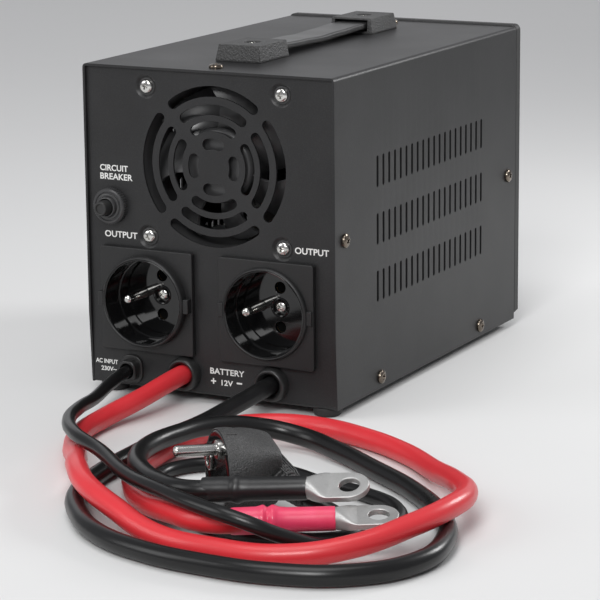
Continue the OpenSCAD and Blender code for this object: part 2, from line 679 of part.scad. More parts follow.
module plug_pins() color([0.8, 0.8, 0.82]) at_plug()
    for (y = [-1, 1]) translate([-pin_l, y * contact_pitch / 2, 0]) {
        rod_x(pin_d / 2, pin_l);
        rod_x(pin_d / 2 - 0.5, pin_l + 10);
    }

module plug_earth_clips() color([0.8, 0.8, 0.82]) at_plug()
    for (z = [-1, 1]) translate([0, -3, z * (plug_d / 2 - 1.6) - 0.8]) cube([7.5, 6, 1.6]);

// ---- Handle ----
module handle_screw_places() for (y = [handle_y0 + cap_l / 2, handle_y1 - cap_l / 2])
    translate([0, y, case_h]) rotate([180, 0, 0]) children();

// End cap with its mouth towards +Y, from its outer end
module handle_cap() difference() {
    intersection() {
        rotate([90, 0, 90]) translate([0, 0, -cap_w / 2]) linear_extrude(cap_w)
            polygon([[0, 0], [cap_l, 0], [cap_l, cap_h - 1], [cap_l - 0.5, cap_h],
                [cap_slope + 0.4, cap_h], [0, 1]]);
        translate([0, cap_l, 0]) rotate([90, 0, 0]) linear_extrude(cap_l)
            polygon([[-cap_w / 2, 0], [cap_w / 2, 0], [cap_w / 2, 1], [cap_w / 2 - cap_slope, cap_h],
                [-cap_w / 2 + cap_slope, cap_h], [-cap_w / 2, 1]]);
    }
    translate([-strap_w / 2 - 0.8, cap_l - mouth_depth, strap_lift - mouth_gap])
        cube([strap_w + 1.6, mouth_depth + 1, strap_t + 2 * mouth_gap]);
    translate([0, cap_l / 2, -1]) cylinder(r = screw_r + screw_gap, h = cap_h + 2);
    translate([0, cap_l / 2, cap_h - 2.6]) cylinder(r = 4, h = 5);
}

module handle_cap_outlet_end() color([0.09, 0.09, 0.09]) in_case()
    translate([0, handle_y0, case_h]) handle_cap();
module handle_cap_display_end() color([0.09, 0.09, 0.09]) in_case()
    translate([0, handle_y1, case_h]) rotate([0, 0, 180]) handle_cap();

module strap_half(y, l) translate([-strap_w / 2, y, case_h + strap_lift]) cube([strap_w, l, strap_t]);
half_strap = (far_mouth - near_mouth) / 2 + strap_tongue - strap_gap / 2;
module handle_strap_near() color([0.07, 0.07, 0.07]) in_case()
    strap_half(near_mouth - strap_tongue, half_strap);
module handle_strap_far() color([0.07, 0.07, 0.07]) in_case()
    strap_half(far_mouth + strap_tongue - half_strap, half_strap);

module handle_screws() color([0.82, 0.82, 0.84]) in_case() handle_screw_places()
    translate([0, 0, -cap_h + 2.6]) pan_screw(3.5, 2.2, screw_r, cap_h + 2);

// ---- Inside ----
board_z = 14;
board_t = 1.6;
board_y = [36, 112];
board_w = inner_w - 14;
core_y = [124, 172];
core_w = 92;
core_z = [sheet, 78];

module main_board() color([0.1, 0.35, 0.15]) in_case() difference() {
    translate([-board_w / 2, board_y[0], board_z]) cube([board_w, board_y[1] - board_y[0], board_t]);
    standoff_places() translate([0, 0, board_z - 1]) cylinder(r = 1.6, h = 4);
}

module standoff_places() for (sx = [-1, 1], y = [board_y[0] + 6, board_y[1] - 6])
    translate([sx * (board_w / 2 - 6), y, 0]) children();

module board_standoffs() color([0.75, 0.65, 0.3]) in_case() standoff_places() {
    translate([0, 0, sheet]) cylinder(r = 3, h = board_z - sheet, $fn = 6);
    translate([0, 0, board_z]) cylinder(r = 1.5, h = board_t);
    translate([0, 0, board_z + board_t]) cylinder(r = 2.8, h = 1.8);
}

module heat_sink() {
    cube([4, 56, 46]);
    for (i = [0:6]) translate([4 - eps, 0, 1 + i * 7]) cube([14, 56, 1.6]);
}
sink_x = 34;
module sink_places() for (s = [-1, 1]) scale([s, 1, 1])
    translate([sink_x, board_y[0] + 10, board_z + board_t]) children();
module heat_sinks() color([0.7, 0.71, 0.73]) in_case() sink_places() heat_sink();

module power_transistors() color([0.12, 0.12, 0.12]) in_case()
    sink_places() for (i = [0:3]) translate([-4.6, 1.5 + 14 * i, 8]) cube([4.6, 10, 15]);

module transformer_core() color([0.35, 0.35, 0.37]) in_case() difference() {
    translate([-core_w / 2, core_y[0], core_z[0]])
        cube([core_w, core_y[1] - core_y[0], core_z[1] - core_z[0]]);
    for (s = [-1, 1]) translate([s * 23 - 8, core_y[0] - 1, core_z[0] + 16])
        cube([16, core_y[1] - core_y[0] + 2, core_z[1] - core_z[0] - 32]);
    for (sx = [-1, 1], z = [8, core_z[1] - 7]) translate([sx * (core_w / 2 - 7), core_y[0] - 1, z])
        rod_y(2.1, core_y[1] - core_y[0] + 2);
}

module transformer_winding() color([0.75, 0.55, 0.25]) in_case() difference() {
    translate([-30.4, core_y[0] - 9, core_z[0] + 17])
        cube([60.8, core_y[1] - core_y[0] + 18, core_z[1] - core_z[0] - 34]);
    translate([-15, core_y[0], core_z[0] + 16])
        cube([30, core_y[1] - core_y[0], core_z[1] - core_z[0] - 32]);
}

module transformer_bolts() color([0.75, 0.75, 0.77]) in_case()
    for (sx = [-1, 1], z = [8, core_z[1] - 7])
        translate([sx * (core_w / 2 - 7), core_y[0] - 4, z]) {
            rod_y(2, core_y[1] - core_y[0] + 8);
            rotate([-90, 0, 0]) cylinder(r = 4.2, h = 4, $fn = 6);
            translate([0, core_y[1] - core_y[0] + 4, 0]) rotate([-90, 0, 0])
                cylinder(r = 4.2, h = 3, $fn = 6);
        }

module capacitors() color([0.1, 0.12, 0.3]) in_case()
    for (x = [-16, 0, 16])
        translate([x, board_y[0] + 16, board_z + board_t]) cylinder(r = 6.4, h = 32);

module relays() color([0.1, 0.25, 0.55]) in_case()
    for (x = [-24, 4]) translate([x, board_y[1] - 18, board_z + board_t]) cube([20, 15, 17]);

module fuses() color([0.9, 0.6, 0.1]) in_case()
    for (i = [0:3]) translate([-18 + 10 * i, board_y[0] + 2, board_z + board_t]) cube([5, 6, 13]);

module filter_choke() color([0.8, 0.45, 0.2]) in_case()
    translate([0, board_y[1] - 34.5, board_z + board_t]) difference() {
        cylinder(r = 14.5, h = 11);
        translate([0, 0, -1]) cylinder(r = 7, h = 13);
    }

module battery_terminals() color([0.72, 0.42, 0.25])
    for (x = [plus_x, minus_x]) translate([x - 7, lead_start_y, foot_h + sheet]) difference() {
        cube([14, 14, entry_z + 5 - sheet]);
        translate([7, 8, entry_z]) cylinder(r = 3, h = 8);
    }

module mains_terminals() color([0.85, 0.83, 0.78])
    translate([mains_x - 6, lead_start_y, foot_h + sheet]) difference() {
        cube([12, 12, mains_z + 5 - sheet]);
        for (x = [3, 9]) translate([x, 6, mains_z]) cylinder(r = 1.6, h = 8);
    }

module control_board() color([0.1, 0.35, 0.2]) in_case()
    translate([-42, core_y[1] + 14, sheet]) cube([84, 1.6, 58]);

chassis();
cover_shell();
front_fascia();
display_window();
display_board();
power_button();
power_switch();
fascia_screws();
cover_screws();
feet();
foot_screws();
fan_frame();
fan_rotor();
fan_screws();
outlet_left_cover();
outlet_left_base();
outlet_left_earth_pin();
outlet_left_contacts();
outlet_left_screw();
outlet_right_cover();
outlet_right_base();
outlet_right_earth_pin();
outlet_right_contacts();
outlet_right_screw();
breaker_body();
breaker_nut();
breaker_button();
breaker_terminals();
mains_gland();
positive_grommet();
negative_grommet();
mains_lead();
positive_cable();
negative_cable();
positive_sleeve();
negative_sleeve();
positive_lug();
negative_lug();
plug_body();
plug_pins();
plug_earth_clips();
handle_cap_outlet_end();
handle_cap_display_end();
handle_strap_near();
handle_strap_far();
handle_screws();
main_board();
board_standoffs();
heat_sinks();
power_transistors();
transformer_core();
transformer_winding();
transformer_bolts();
capacitors();
relays();
fuses();
filter_choke();
battery_terminals();
mains_terminals();
control_board();
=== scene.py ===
"""A power inverter in a black steel case, with its handle, outlets, leads and plug.

The file is laid out as an add-on: the settings hold what a user would change, each piece or group of
like pieces has an operator, and main() calls them in order. Shapes are worked out in millimetres in the
object's own frame, with +Z up and -Y towards the outlets, and go into the scene in metres.
"""

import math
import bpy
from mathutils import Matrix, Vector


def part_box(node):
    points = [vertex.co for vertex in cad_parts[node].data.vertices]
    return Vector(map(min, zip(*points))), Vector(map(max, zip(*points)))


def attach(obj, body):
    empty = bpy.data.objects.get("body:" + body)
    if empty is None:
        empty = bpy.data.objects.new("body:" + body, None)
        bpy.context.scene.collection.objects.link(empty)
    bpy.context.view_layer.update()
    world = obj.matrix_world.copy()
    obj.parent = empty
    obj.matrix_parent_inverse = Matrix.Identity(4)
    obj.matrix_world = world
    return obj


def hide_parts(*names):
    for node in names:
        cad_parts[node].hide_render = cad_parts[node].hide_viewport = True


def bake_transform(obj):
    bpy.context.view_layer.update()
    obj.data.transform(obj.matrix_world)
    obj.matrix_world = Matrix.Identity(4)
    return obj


bl_info = {
    "name": "Power inverter",
    "version": (1, 0, 0),
    "blender": (4, 5, 0),
    "location": "View3D > Sidebar > Inverter",
    "description": "Builds a power inverter around its packed frame",
    "category": "Add Mesh",
}

import bmesh
import bpy
from bpy.props import FloatProperty, FloatVectorProperty, IntProperty, PointerProperty
from mathutils import Matrix, Vector, noise

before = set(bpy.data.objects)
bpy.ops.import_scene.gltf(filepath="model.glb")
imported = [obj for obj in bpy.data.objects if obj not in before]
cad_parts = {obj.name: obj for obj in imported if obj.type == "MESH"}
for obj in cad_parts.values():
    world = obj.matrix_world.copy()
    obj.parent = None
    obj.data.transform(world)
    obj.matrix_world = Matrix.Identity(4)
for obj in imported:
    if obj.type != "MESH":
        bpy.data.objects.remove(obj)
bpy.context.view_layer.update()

MM = 0.001
X, Y, Z = Vector((1, 0, 0)), Vector((0, 1, 0)), Vector((0, 0, 1))
OUT = -Y  # out of the outlet panel


def node_box(node):
    """Lowest and highest corner of a CAD node, in millimetres."""
    low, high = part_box(node)
    return low / MM, high / MM


def node_centre(node):
    low, high = node_box(node)
    return (low + high) / 2


# Routes along the middle of each lead, in millimetres, as the CAD has them
PLUS_ROUTE = [
    (-14, -91, 13.5), (-14, -110, 13.3), (-18, -138, 9), (-23, -162, 5.2), (-20, -187, 4.8),
    (-8, -212, 5.5), (9, -236, 9.8), (23, -258, 13.5), (41, -279, 13.5), (62, -293, 11),
    (88, -304, 6), (116, -307, 5), (144, -302.5, 5), (167, -288, 8), (181, -266.5, 12),
    (187, -243, 13.6), (184, -220, 12.5), (170, -199, 10), (150, -176, 6), (126, -154, 4.8),
    (98, -139, 4.8), (71, -132, 4.8), (48, -137, 4.8), (34, -152, 4.8), (29, -176, 4.8),
    (29, -203, 4.8), (33, -227, 4.8), (45, -249, 4.8), (62, -269, 6.5), (84, -286, 10),
    (108, -294, 11.3), (126.2, -285, 11.8),
]
MINUS_ROUTE = [
    (33, -91, 13.5), (33, -108, 13.2), (28, -125, 9.5), (22, -148, 5), (19, -176, 4.4),
    (19, -208, 4.4), (21, -238, 4.4), (28, -266, 4.4), (43, -289, 4.4), (64, -308, 4.4),
    (90, -319, 4.4), (120, -323, 4.4), (150, -321, 4.4), (176, -310, 4.4), (192, -288, 4.4),
    (192, -260, 4.4), (177, -229, 4.4), (152, -202, 4.4), (124, -181, 4.4), (97, -163, 4.8),
    (74, -154, 6.5), (56, -160, 10), (43, -177, 13.2), (36, -199, 13.8), (35, -221, 13.8),
    (41, -239, 13.8), (54, -255, 14), (70, -268, 15), (86, -274.8, 16.1), (103.5, -269.7, 17.3),
]
MAINS_ROUTE = [
    (-43.5, -91, 12.5), (-43.5, -107, 12.3), (-41, -127, 11), (-35, -150, 10.5), (-27, -177, 13),
    (-15, -204, 15.5), (3, -227, 17.3), (25, -243, 17), (55, -270, 17.2), (80, -287, 18.8),
    (104, -299, 19), (125, -302, 16.5), (141, -293, 9), (152, -282, 4), (162, -266, 3.2),
    (164, -243, 3.2), (153, -222, 3.2), (134, -211, 3.2), (112, -205, 3.2), (92, -197, 3.2),
    (73, -194, 3.2), (56, -199, 3.2), (45, -210, 3.2), (43, -226, 3.2), (52, -243, 3.2),
    (66, -258, 3.2), (84, -271, 3.2), (103, -278.5, 3.2), (120, -281, 3.2), (135, -278.5, 3.2),
    (147.5, -272.5, 3.2), (154, -263, 3.2), (151.5, -254, 4), (140, -249.3, 6.5), (126, -247.5, 10),
]

# Point, turn, rise and roll of what is on the leads' ends
PLUS_END = ((114.6, -290.8, 11.5), 27, 1.3, 11)
MINUS_END = ((92, -273, 16.5), 16, 4, 22)
PLUG_PLACE = ((86, -251.2, 18), 46, -3, 100)
RELIEF_ROOT = (101, -237.5, 17)

# Places that several pieces share, in millimetres
COVER_LOW, COVER_HIGH = node_box("cover_shell")
PANEL_Y = node_box("chassis")[0].y
FAN = node_centre("fan_frame")
FAN_SCREWS = [(FAN.x + sx * 35.75, FAN.z + sz * 35.75) for sx in (-1, 1) for sz in (-1, 1)]
GRILLE_RINGS = [(33, 38), (24.5, 29.4), (16.8, 21.6), (8.3, 13.5)]
OUTLET_Z = node_centre("outlet_left_base").z
BREAKER = node_centre("breaker_nut")
FEET = [(sx * x, y) for sx in (-1, 1) for x, y in ((57.5, -94.3), (46, 97.7))]
WINDOW = node_centre("display_window")
BUTTON_Z = node_centre("power_button").z
FASCIA_BACK = node_box("front_fascia")[1].y
BACK_Y = COVER_HIGH.y


# ---- Settings ----
def colour_property(name, description, default):
    return FloatVectorProperty(
        name=name, description=description, subtype="COLOR", size=3, min=0, max=1, default=default
    )


def length_property(name, description, default, low, high):
    """A length in millimetres."""
    return FloatProperty(name=name, description=description, default=default, min=low, max=high)


class CaseSettings(bpy.types.PropertyGroup):
    steel_colour: colour_property("Steel colour", "Powder coat on the case", (0.013, 0.013, 0.0135))
    print_colour: colour_property("Print colour", "Words printed on the panel", (0.78, 0.78, 0.76))
    sheet: length_property("Sheet", "Thickness of the sheet metal, mm", 1.2, 0.8, 2)
    bend: length_property("Bend", "Outer radius of the cover's bends, mm", 2, 1.5, 4)
    lip_taper: length_property("Lip taper", "Height of the tapered lip of the cover, mm", 35, 10, 60)
    slot_pitch: length_property("Slot pitch", "Distance between the cover's slots, mm", 6.35, 4, 8)
    slot_count: IntProperty(name="Slots", description="Slots in a row", default=20, min=4, max=30)


class FanSettings(bpy.types.PropertyGroup):
    blades: IntProperty(name="Blades", description="Blades of the fan", default=7, min=3, max=9)
    spoke: length_property("Spoke", "Width of the grille's spokes, mm", 5, 3, 8)


class OutletSettings(bpy.types.PropertyGroup):
    recess: length_property("Recess", "Diameter of the plug recess, mm", 40, 38, 41)
    contact: length_property("Contact hole", "Diameter of the contact holes, mm", 5.5, 5, 6)
    contact_pitch: length_property("Contact pitch", "Distance between contact holes, mm", 19, 18, 20)


class LeadSettings(bpy.types.PropertyGroup):
    plus_colour: colour_property("Positive cable", "Jacket of the positive cable", (0.72, 0.035, 0.045))
    shrink_colour: colour_property("Positive sleeve", "Sleeve of the positive lug", (0.8, 0.06, 0.15))
    plus_diameter: length_property("Positive cable", "Diameter of the positive cable, mm", 9.4, 8, 10)
    minus_diameter: length_property("Negative cable", "Diameter of the negative cable, mm", 8.6, 8, 10)
    mains_diameter: length_property("Mains lead", "Diameter of the mains lead, mm", 6.2, 5, 7)


class HandleSettings(bpy.types.PropertyGroup):
    cap_colour: colour_property("Cap colour", "Moulded end caps", (0.026, 0.026, 0.026))
    strap_sag: length_property("Strap sag", "How far the strap dips at its middle, mm", 0.9, 0, 2)


# ---- Making pieces ----
def new_object(name, data):
    obj = bpy.data.objects.new(name, data)
    bpy.context.scene.collection.objects.link(obj)
    return obj


def mesh_of(obj):
    """The evaluated mesh of an object, which is then deleted."""
    depsgraph = bpy.context.evaluated_depsgraph_get()
    mesh = bpy.data.meshes.new_from_object(obj.evaluated_get(depsgraph))
    bpy.data.objects.remove(obj)
    return mesh


def bmesh_of(mesh):
    bm = bmesh.new()
    bm.from_mesh(mesh)
    bpy.data.meshes.remove(mesh)
    return bm


def join(bm, part, place=None):
    """Adds a bmesh to another one, at a place."""
    if place is not None:
        part.transform(place)
    mesh = bpy.data.meshes.new("part")
    part.to_mesh(mesh)
    part.free()
    bm.from_mesh(mesh)
    bpy.data.meshes.remove(mesh)


def add_piece(name, bm, material, replaces=(), body="root", edge=0.0, smooth=35):
    """Makes a bmesh in millimetres a piece of the object, in metres, riding on a body."""
    bmesh.ops.remove_doubles(bm, verts=bm.verts, dist=0.002)
    bmesh.ops.recalc_face_normals(bm, faces=bm.faces)
    bm.transform(Matrix.Scale(MM, 4))
    mesh = bpy.data.meshes.new(name)
    bm.to_mesh(mesh)
    bm.free()
    mesh.shade_smooth()
    mesh.set_sharp_from_angle(angle=math.radians(smooth))
    mesh.materials.append(material)
    piece = new_object(name, mesh)
    if edge:
        bevel = piece.modifiers.new("edges", "BEVEL")
        bevel.width = edge * MM
        bevel.segments = 2
        bevel.limit_method = "ANGLE"
        bevel.angle_limit = math.radians(38)
        bevel.harden_normals = True
    normals = piece.modifiers.new("normals", "WEIGHTED_NORMAL")
    normals.keep_sharp = True
    normals.weight = 90
    if replaces:
        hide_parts(*replaces)
    if body:
        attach(piece, body)
    return piece


DRESSED = set()


def dress(node, material):
    """Gives a CAD node that keeps its shape its finish."""
    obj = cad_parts[node]
    obj.data.materials.clear()
    obj.data.materials.append(material)
    DRESSED.add(node)


def along(start, direction):
    """Frame with its Z axis along direction, at start."""
    return Matrix.Translation(start) @ direction.to_track_quat("Z", "Y").to_matrix().to_4x4()


PANEL_PLANE = Matrix.Rotation(math.radians(90), 4, "X")  # lays XY shapes on XZ, Z towards -Y


def add_block(bm, low, high):
    size = [b - a for a, b in zip(low, high)]
    middle = [(a + b) / 2 for a, b in zip(low, high)]
    place = Matrix.Translation(middle) @ Matrix.Diagonal((*size, 1))
    return bmesh.ops.create_cube(bm, size=1, matrix=place)["verts"]


def add_lathe(bm, profile, start, direction, steps=48, closed=False):
    """Spins (along, radius) points round a line from start along direction."""
    place = along(start, direction)
    verts = [bm.verts.new(place @ Vector((r, 0, a))) for a, r in profile]
    pairs = list(zip(verts, verts[1:]))
    if closed:
        pairs.append((verts[-1], verts[0]))
    edges = [bm.edges.new(pair) for pair in pairs]
    bmesh.ops.spin(
        bm, geom=verts + edges, cent=start, axis=direction, angle=math.tau, steps=steps,
        use_merge=True, use_duplicate=False,
    )


def ring_profile(inner, outer, low, high, soft=0.0):
    """Closed profile of a ring whose outer corner at low is rounded off."""
    return [
        (high, inner), (low, inner), (low, outer - soft), (low + soft * 0.3, outer - soft * 0.3),
        (low + soft, outer), (high, outer),
    ]


def circle(x, y, radius, count=40):
    return [
        (x + radius * math.cos(math.tau * i / count), y + radius * math.sin(math.tau * i / count))
        for i in range(count)
    ]


def rounded_box(x, y, width, height, radius, steps=6):
    points = []
    for quarter, (sx, sy) in enumerate([(1, 1), (-1, 1), (-1, -1), (1, -1)]):
        cx, cy = x + sx * (width / 2 - radius), y + sy * (height / 2 - radius)
        for i in range(steps + 1):
            a = math.pi / 2 * (quarter + i / steps)
            points.append((cx + radius * math.cos(a), cy + radius * math.sin(a)))
    return points


def cut_sheet(outline, holes, thickness, edge=0.15, steps=1):
    """A flat plate on Z = 0 with holes, its edges rounded."""
    curve = bpy.data.curves.new("sheet", "CURVE")
    curve.dimensions = "2D"
    curve.fill_mode = "BOTH"
    curve.extrude = thickness / 2 - edge
    curve.bevel_depth = edge
    curve.bevel_resolution = steps
    curve.offset = -edge
    for loop in [outline, *holes]:
        spline = curve.splines.new("POLY")
        spline.points.add(len(loop) - 1)
        for point, (x, y) in zip(spline.points, loop):
            point.co = (x, y, 0, 1)
        spline.use_cyclic_u = True
    bm = bmesh_of(mesh_of(new_object("sheet", curve)))
    bmesh.ops.remove_doubles(bm, verts=bm.verts, dist=0.001)
    bmesh.ops.translate(bm, vec=(0, 0, thickness / 2), verts=bm.verts)
    return bm


def carve(bm, tool, operation="DIFFERENCE"):
    """Cuts one closed shape out of another."""
    objects = []
    for part in (bm, tool):
        bmesh.ops.remove_doubles(part, verts=part.verts, dist=0.001)
        bmesh.ops.recalc_face_normals(part, faces=part.faces)
        mesh = bpy.data.meshes.new("carve")
        part.to_mesh(mesh)
        part.free()
        objects.append(new_object("carve", mesh))
    cut = objects[0].modifiers.new("cut", "BOOLEAN")
    cut.operation = operation
    cut.solver = "EXACT"
    cut.object = objects[1]
    result = bmesh_of(mesh_of(objects[0]))
    bpy.data.objects.remove(objects[1])
    return result


def add_text(bm, words, left, bottom, width, height, y):
    """Flat lettering on the outlet panel, stretched to a width and height."""
    curve = bpy.data.curves.new("words", "FONT")
    curve.body = words
    curve.resolution_u = 4
    curve.offset = 0.02
    mesh = mesh_of(new_object("words", curve))
    part = bmesh_of(mesh)
    low = Vector([min(v.co[i] for v in part.verts) for i in range(3)])
    high = Vector([max(v.co[i] for v in part.verts) for i in range(3)])
    bmesh.ops.translate(part, vec=-low, verts=part.verts)
    bmesh.ops.scale(
        part, vec=(width / (high.x - low.x), height / (high.y - low.y), 1), verts=part.verts
    )
    raised = bmesh.ops.extrude_face_region(part, geom=part.faces[:])["geom"]
    bmesh.ops.translate(
        part, vec=(0, 0, 0.04), verts=[g for g in raised if isinstance(g, bmesh.types.BMVert)]
    )
    join(bm, part, Matrix.Translation((left, y, bottom)) @ PANEL_PLANE)


def end_place(end):
    """Frame of a cable's end fitting, +X along it, from its point, turn, rise and roll."""
    point, turn, rise, roll = end
    return (
        Matrix.Translation(point) @ Matrix.Rotation(math.radians(turn), 4, "Z")
        @ Matrix.Rotation(math.radians(-rise), 4, "Y") @ Matrix.Rotation(math.radians(roll), 4, "X")
    )


def add_soft_block(bm, low, high, edge):
    """A block with rounded edges."""
    part = bmesh.new()
    add_block(part, low, high)
    bmesh.ops.bevel(
        part, geom=part.edges[:], offset=edge, offset_type="OFFSET", segments=3, profile=0.5,
        affect="EDGES", material=-1, clamp_overlap=True,
    )
    join(bm, part)


def add_outline(bm, points, depth, place):
    """A flat outline on XY, extruded up by depth, then placed."""
    part = bmesh.new()
    face = part.faces.new([part.verts.new((x, y, 0)) for x, y in points])
    raised = bmesh.ops.extrude_face_region(part, geom=[face])["geom"]
    bmesh.ops.translate(
        part, vec=(0, 0, depth), verts=[g for g in raised if isinstance(g, bmesh.types.BMVert)]
    )
    join(bm, part, place)


def add_loft(bm, loops):
    """Skins closed loops of equal length, and caps both ends."""
    rings = []
    for loop in loops:
        verts = [bm.verts.new(point) for point in loop]
        rings.append((verts, [bm.edges.new(pair) for pair in zip(verts, verts[1:] + verts[:1])]))
    for (_, first), (_, second) in zip(rings, rings[1:]):
        bmesh.ops.bridge_loops(bm, edges=first + second)
    bm.faces.new(rings[0][0])
    bm.faces.new(rings[-1][0])


def scatter(bm, part, places):
    """Adds a copy of a shape at each place, and frees it."""
    mesh = bpy.data.meshes.new("part")
    part.to_mesh(mesh)
    part.free()
    for place in places:
        copy = bmesh.new()
        copy.from_mesh(mesh)
        join(bm, copy, place)
    bpy.data.meshes.remove(mesh)


# ---- Finishes ----
class Shading:
    """A node tree with short calls for adding and linking nodes."""

    def __init__(self, tree):
        self.tree = tree

    def node(self, kind, label=None, **inputs):
        node = self.tree.nodes.new(kind)
        if label:
            node.label = label
        for key, value in inputs.items():
            socket = node.inputs[key.replace("_", " ")]
            if isinstance(value, bpy.types.NodeSocket):
                self.tree.links.new(value, socket)
            else:
                socket.default_value = value
        return node

    def ramp(self, factor, low, high, dark, light):
        """Factor from low to high becomes a value from dark to light."""
        node = self.node("ShaderNodeMapRange", Value=factor)
        for name, value in zip(("From Min", "From Max", "To Min", "To Max"), (low, high, dark, light)):
            node.inputs[name].default_value = value
        return node.outputs["Result"]


def new_group(name, inputs, outputs):
    group = bpy.data.node_groups.new(name, "ShaderNodeTree")
    for label, kind, default in inputs:
        socket = group.interface.new_socket(label, in_out="INPUT", socket_type=kind)
        if default is not None:
            socket.default_value = default
    for label, kind in outputs:
        group.interface.new_socket(label, in_out="OUTPUT", socket_type=kind)
    shading = Shading(group)
    return shading, group.nodes.new("NodeGroupInput").outputs, group.nodes.new("NodeGroupOutput").inputs


def moulded_grain_group():
    """Fine pebbled grain, as on powder coat or textured mouldings."""
    name = "Moulded grain"
    if name in bpy.data.node_groups:
        return bpy.data.node_groups[name]
    s, given, out = new_group(
        name,
        [
            ("Vector", "NodeSocketVector", None),
            ("Grains per metre", "NodeSocketFloat", 1500.0),
            ("Roughness", "NodeSocketFloat", 0.5),
            ("Spread", "NodeSocketFloat", 0.1),
        ],
        [("Height", "NodeSocketFloat"), ("Roughness", "NodeSocketFloat")],
    )
    grain = s.node(
        "ShaderNodeTexNoise", "grain", Vector=given["Vector"], Scale=given["Grains per metre"], Detail=2.0
    )
    cells = s.node(
        "ShaderNodeTexVoronoi", "pebbles", Vector=given["Vector"], Scale=given["Grains per metre"]
    )
    mixed = s.node("ShaderNodeMath", "grain height")
    mixed.operation = "MULTIPLY_ADD"
    s.tree.links.new(cells.outputs["Distance"], mixed.inputs[0])
    mixed.inputs[1].default_value = -0.5
    s.tree.links.new(grain.outputs["Fac"], mixed.inputs[2])
    s.tree.links.new(mixed.outputs[0], out["Height"])
    smudge = s.node("ShaderNodeTexNoise", "smudges", Vector=given["Vector"], Scale=22.0, Detail=4.0)
    centred = s.node("ShaderNodeMath", "smudge depth")
    centred.operation = "SUBTRACT"
    s.tree.links.new(smudge.outputs["Fac"], centred.inputs[0])
    centred.inputs[1].default_value = 0.5
    rough = s.node("ShaderNodeMath", "roughness")
    rough.operation = "MULTIPLY_ADD"
    s.tree.links.new(centred.outputs[0], rough.inputs[0])
    s.tree.links.new(given["Spread"], rough.inputs[1])
    s.tree.links.new(given["Roughness"], rough.inputs[2])
    s.tree.links.new(rough.outputs[0], out["Roughness"])
    return s.tree


def colour_drift_group():
    """Slow and fine changes of a colour over the surface, with a little dust."""
    name = "Colour drift"
    if name in bpy.data.node_groups:
        return bpy.data.node_groups[name]
    s, given, out = new_group(
        name,
        [
            ("Vector", "NodeSocketVector", None),
            ("Color", "NodeSocketColor", (0.5, 0.5, 0.5, 1)),
            ("Second color", "NodeSocketColor", (0.6, 0.6, 0.6, 1)),
            ("Patches per metre", "NodeSocketFloat", 30.0),
            ("Speckle", "NodeSocketFloat", 0.3),
        ],
        [("Color", "NodeSocketColor")],
    )
    patches = s.node(
        "ShaderNodeTexNoise", "patches", Vector=given["Vector"], Scale=given["Patches per metre"], Detail=5.0
    )
    speckle = s.node("ShaderNodeTexNoise", "speckle", Vector=given["Vector"], Scale=1900.0, Detail=1.0)
    sharpened = s.ramp(speckle.outputs["Fac"], 0.45, 0.75, 0.0, 1.0)
    weighted = s.node("ShaderNodeMath", "speckle weight")
    weighted.operation = "MULTIPLY"
    s.tree.links.new(sharpened, weighted.inputs[0])
    s.tree.links.new(given["Speckle"], weighted.inputs[1])
    total = s.node("ShaderNodeMath", "drift")
    total.operation = "ADD"
    total.use_clamp = True
    s.tree.links.new(s.ramp(patches.outputs["Fac"], 0.35, 0.7, 0.0, 0.6), total.inputs[0])
    s.tree.links.new(weighted.outputs[0], total.inputs[1])
    mix = s.node("ShaderNodeMix", "colour")
    mix.data_type = "RGBA"
    s.tree.links.new(total.outputs[0], mix.inputs[0])
    s.tree.links.new(given["Color"], mix.inputs[6])
    s.tree.links.new(given["Second color"], mix.inputs[7])
    s.tree.links.new(mix.outputs[2], out["Color"])
    return s.tree


def lighter(colour, amount):
    return tuple(min(1.0, c * (1 + amount) + amount * 0.004) for c in colour)


def finish(
    name, colour, roughness, metallic=0.0, grain=1500.0, depth=0.02, spread=0.12, drift=0.35,
    patches=30.0, speckle=0.3, coat=0.0, specular=0.5, stretch=(1, 1, 1), second=None, **sockets
):
    """A material with a pebbled grain, drifting colour and smudged gloss; depth is in millimetres."""
    if name in bpy.data.materials:
        return bpy.data.materials[name]
    material = bpy.data.materials.new(name)
    material.use_nodes = True
    s = Shading(material.node_tree)
    shader = s.tree.nodes["Principled BSDF"]
    place = s.node("ShaderNodeTexCoord", "place").outputs["Object"]
    mapping = s.node("ShaderNodeMapping", "stretch", Vector=place)
    mapping.inputs["Scale"].default_value = stretch
    vector = mapping.outputs["Vector"]

    grain_node = s.node("ShaderNodeGroup")
    grain_node.node_tree = moulded_grain_group()
    s.tree.links.new(vector, grain_node.inputs["Vector"])
    grain_node.inputs["Grains per metre"].default_value = grain
    grain_node.inputs["Roughness"].default_value = roughness
    grain_node.inputs["Spread"].default_value = spread
    s.tree.links.new(grain_node.outputs["Roughness"], shader.inputs["Roughness"])
    bump = s.node("ShaderNodeBump", "grain", Distance=depth * MM, Height=grain_node.outputs["Height"])
    s.tree.links.new(bump.outputs["Normal"], shader.inputs["Normal"])

    tint = s.node("ShaderNodeGroup")
    tint.node_tree = colour_drift_group()
    s.tree.links.new(vector, tint.inputs["Vector"])
    tint.inputs["Color"].default_value = (*colour, 1)
    tint.inputs["Second color"].default_value = (*(second or lighter(colour, drift)), 1)
    tint.inputs["Patches per metre"].default_value = patches
    tint.inputs["Speckle"].default_value = speckle
    s.tree.links.new(tint.outputs["Color"], shader.inputs["Base Color"])

    shader.inputs["Metallic"].default_value = metallic
    shader.inputs["Specular IOR Level"].default_value = specular
    shader.inputs["Coat Weight"].default_value = coat
    for key, value in sockets.items():
        shader.inputs[key.replace("_", " ")].default_value = value
    return material


def powder_coat():
    colour = tuple(bpy.context.scene.inverter_case.steel_colour)
    return finish(
        "Powder coated steel", colour, 0.42, grain=1500, depth=0.035, drift=0.5, speckle=0.9, specular=0.4
    )


def textured_plastic():
    return finish("Textured black plastic", (0.017, 0.017, 0.017), 0.52, grain=2300, depth=0.03, speckle=0.4)


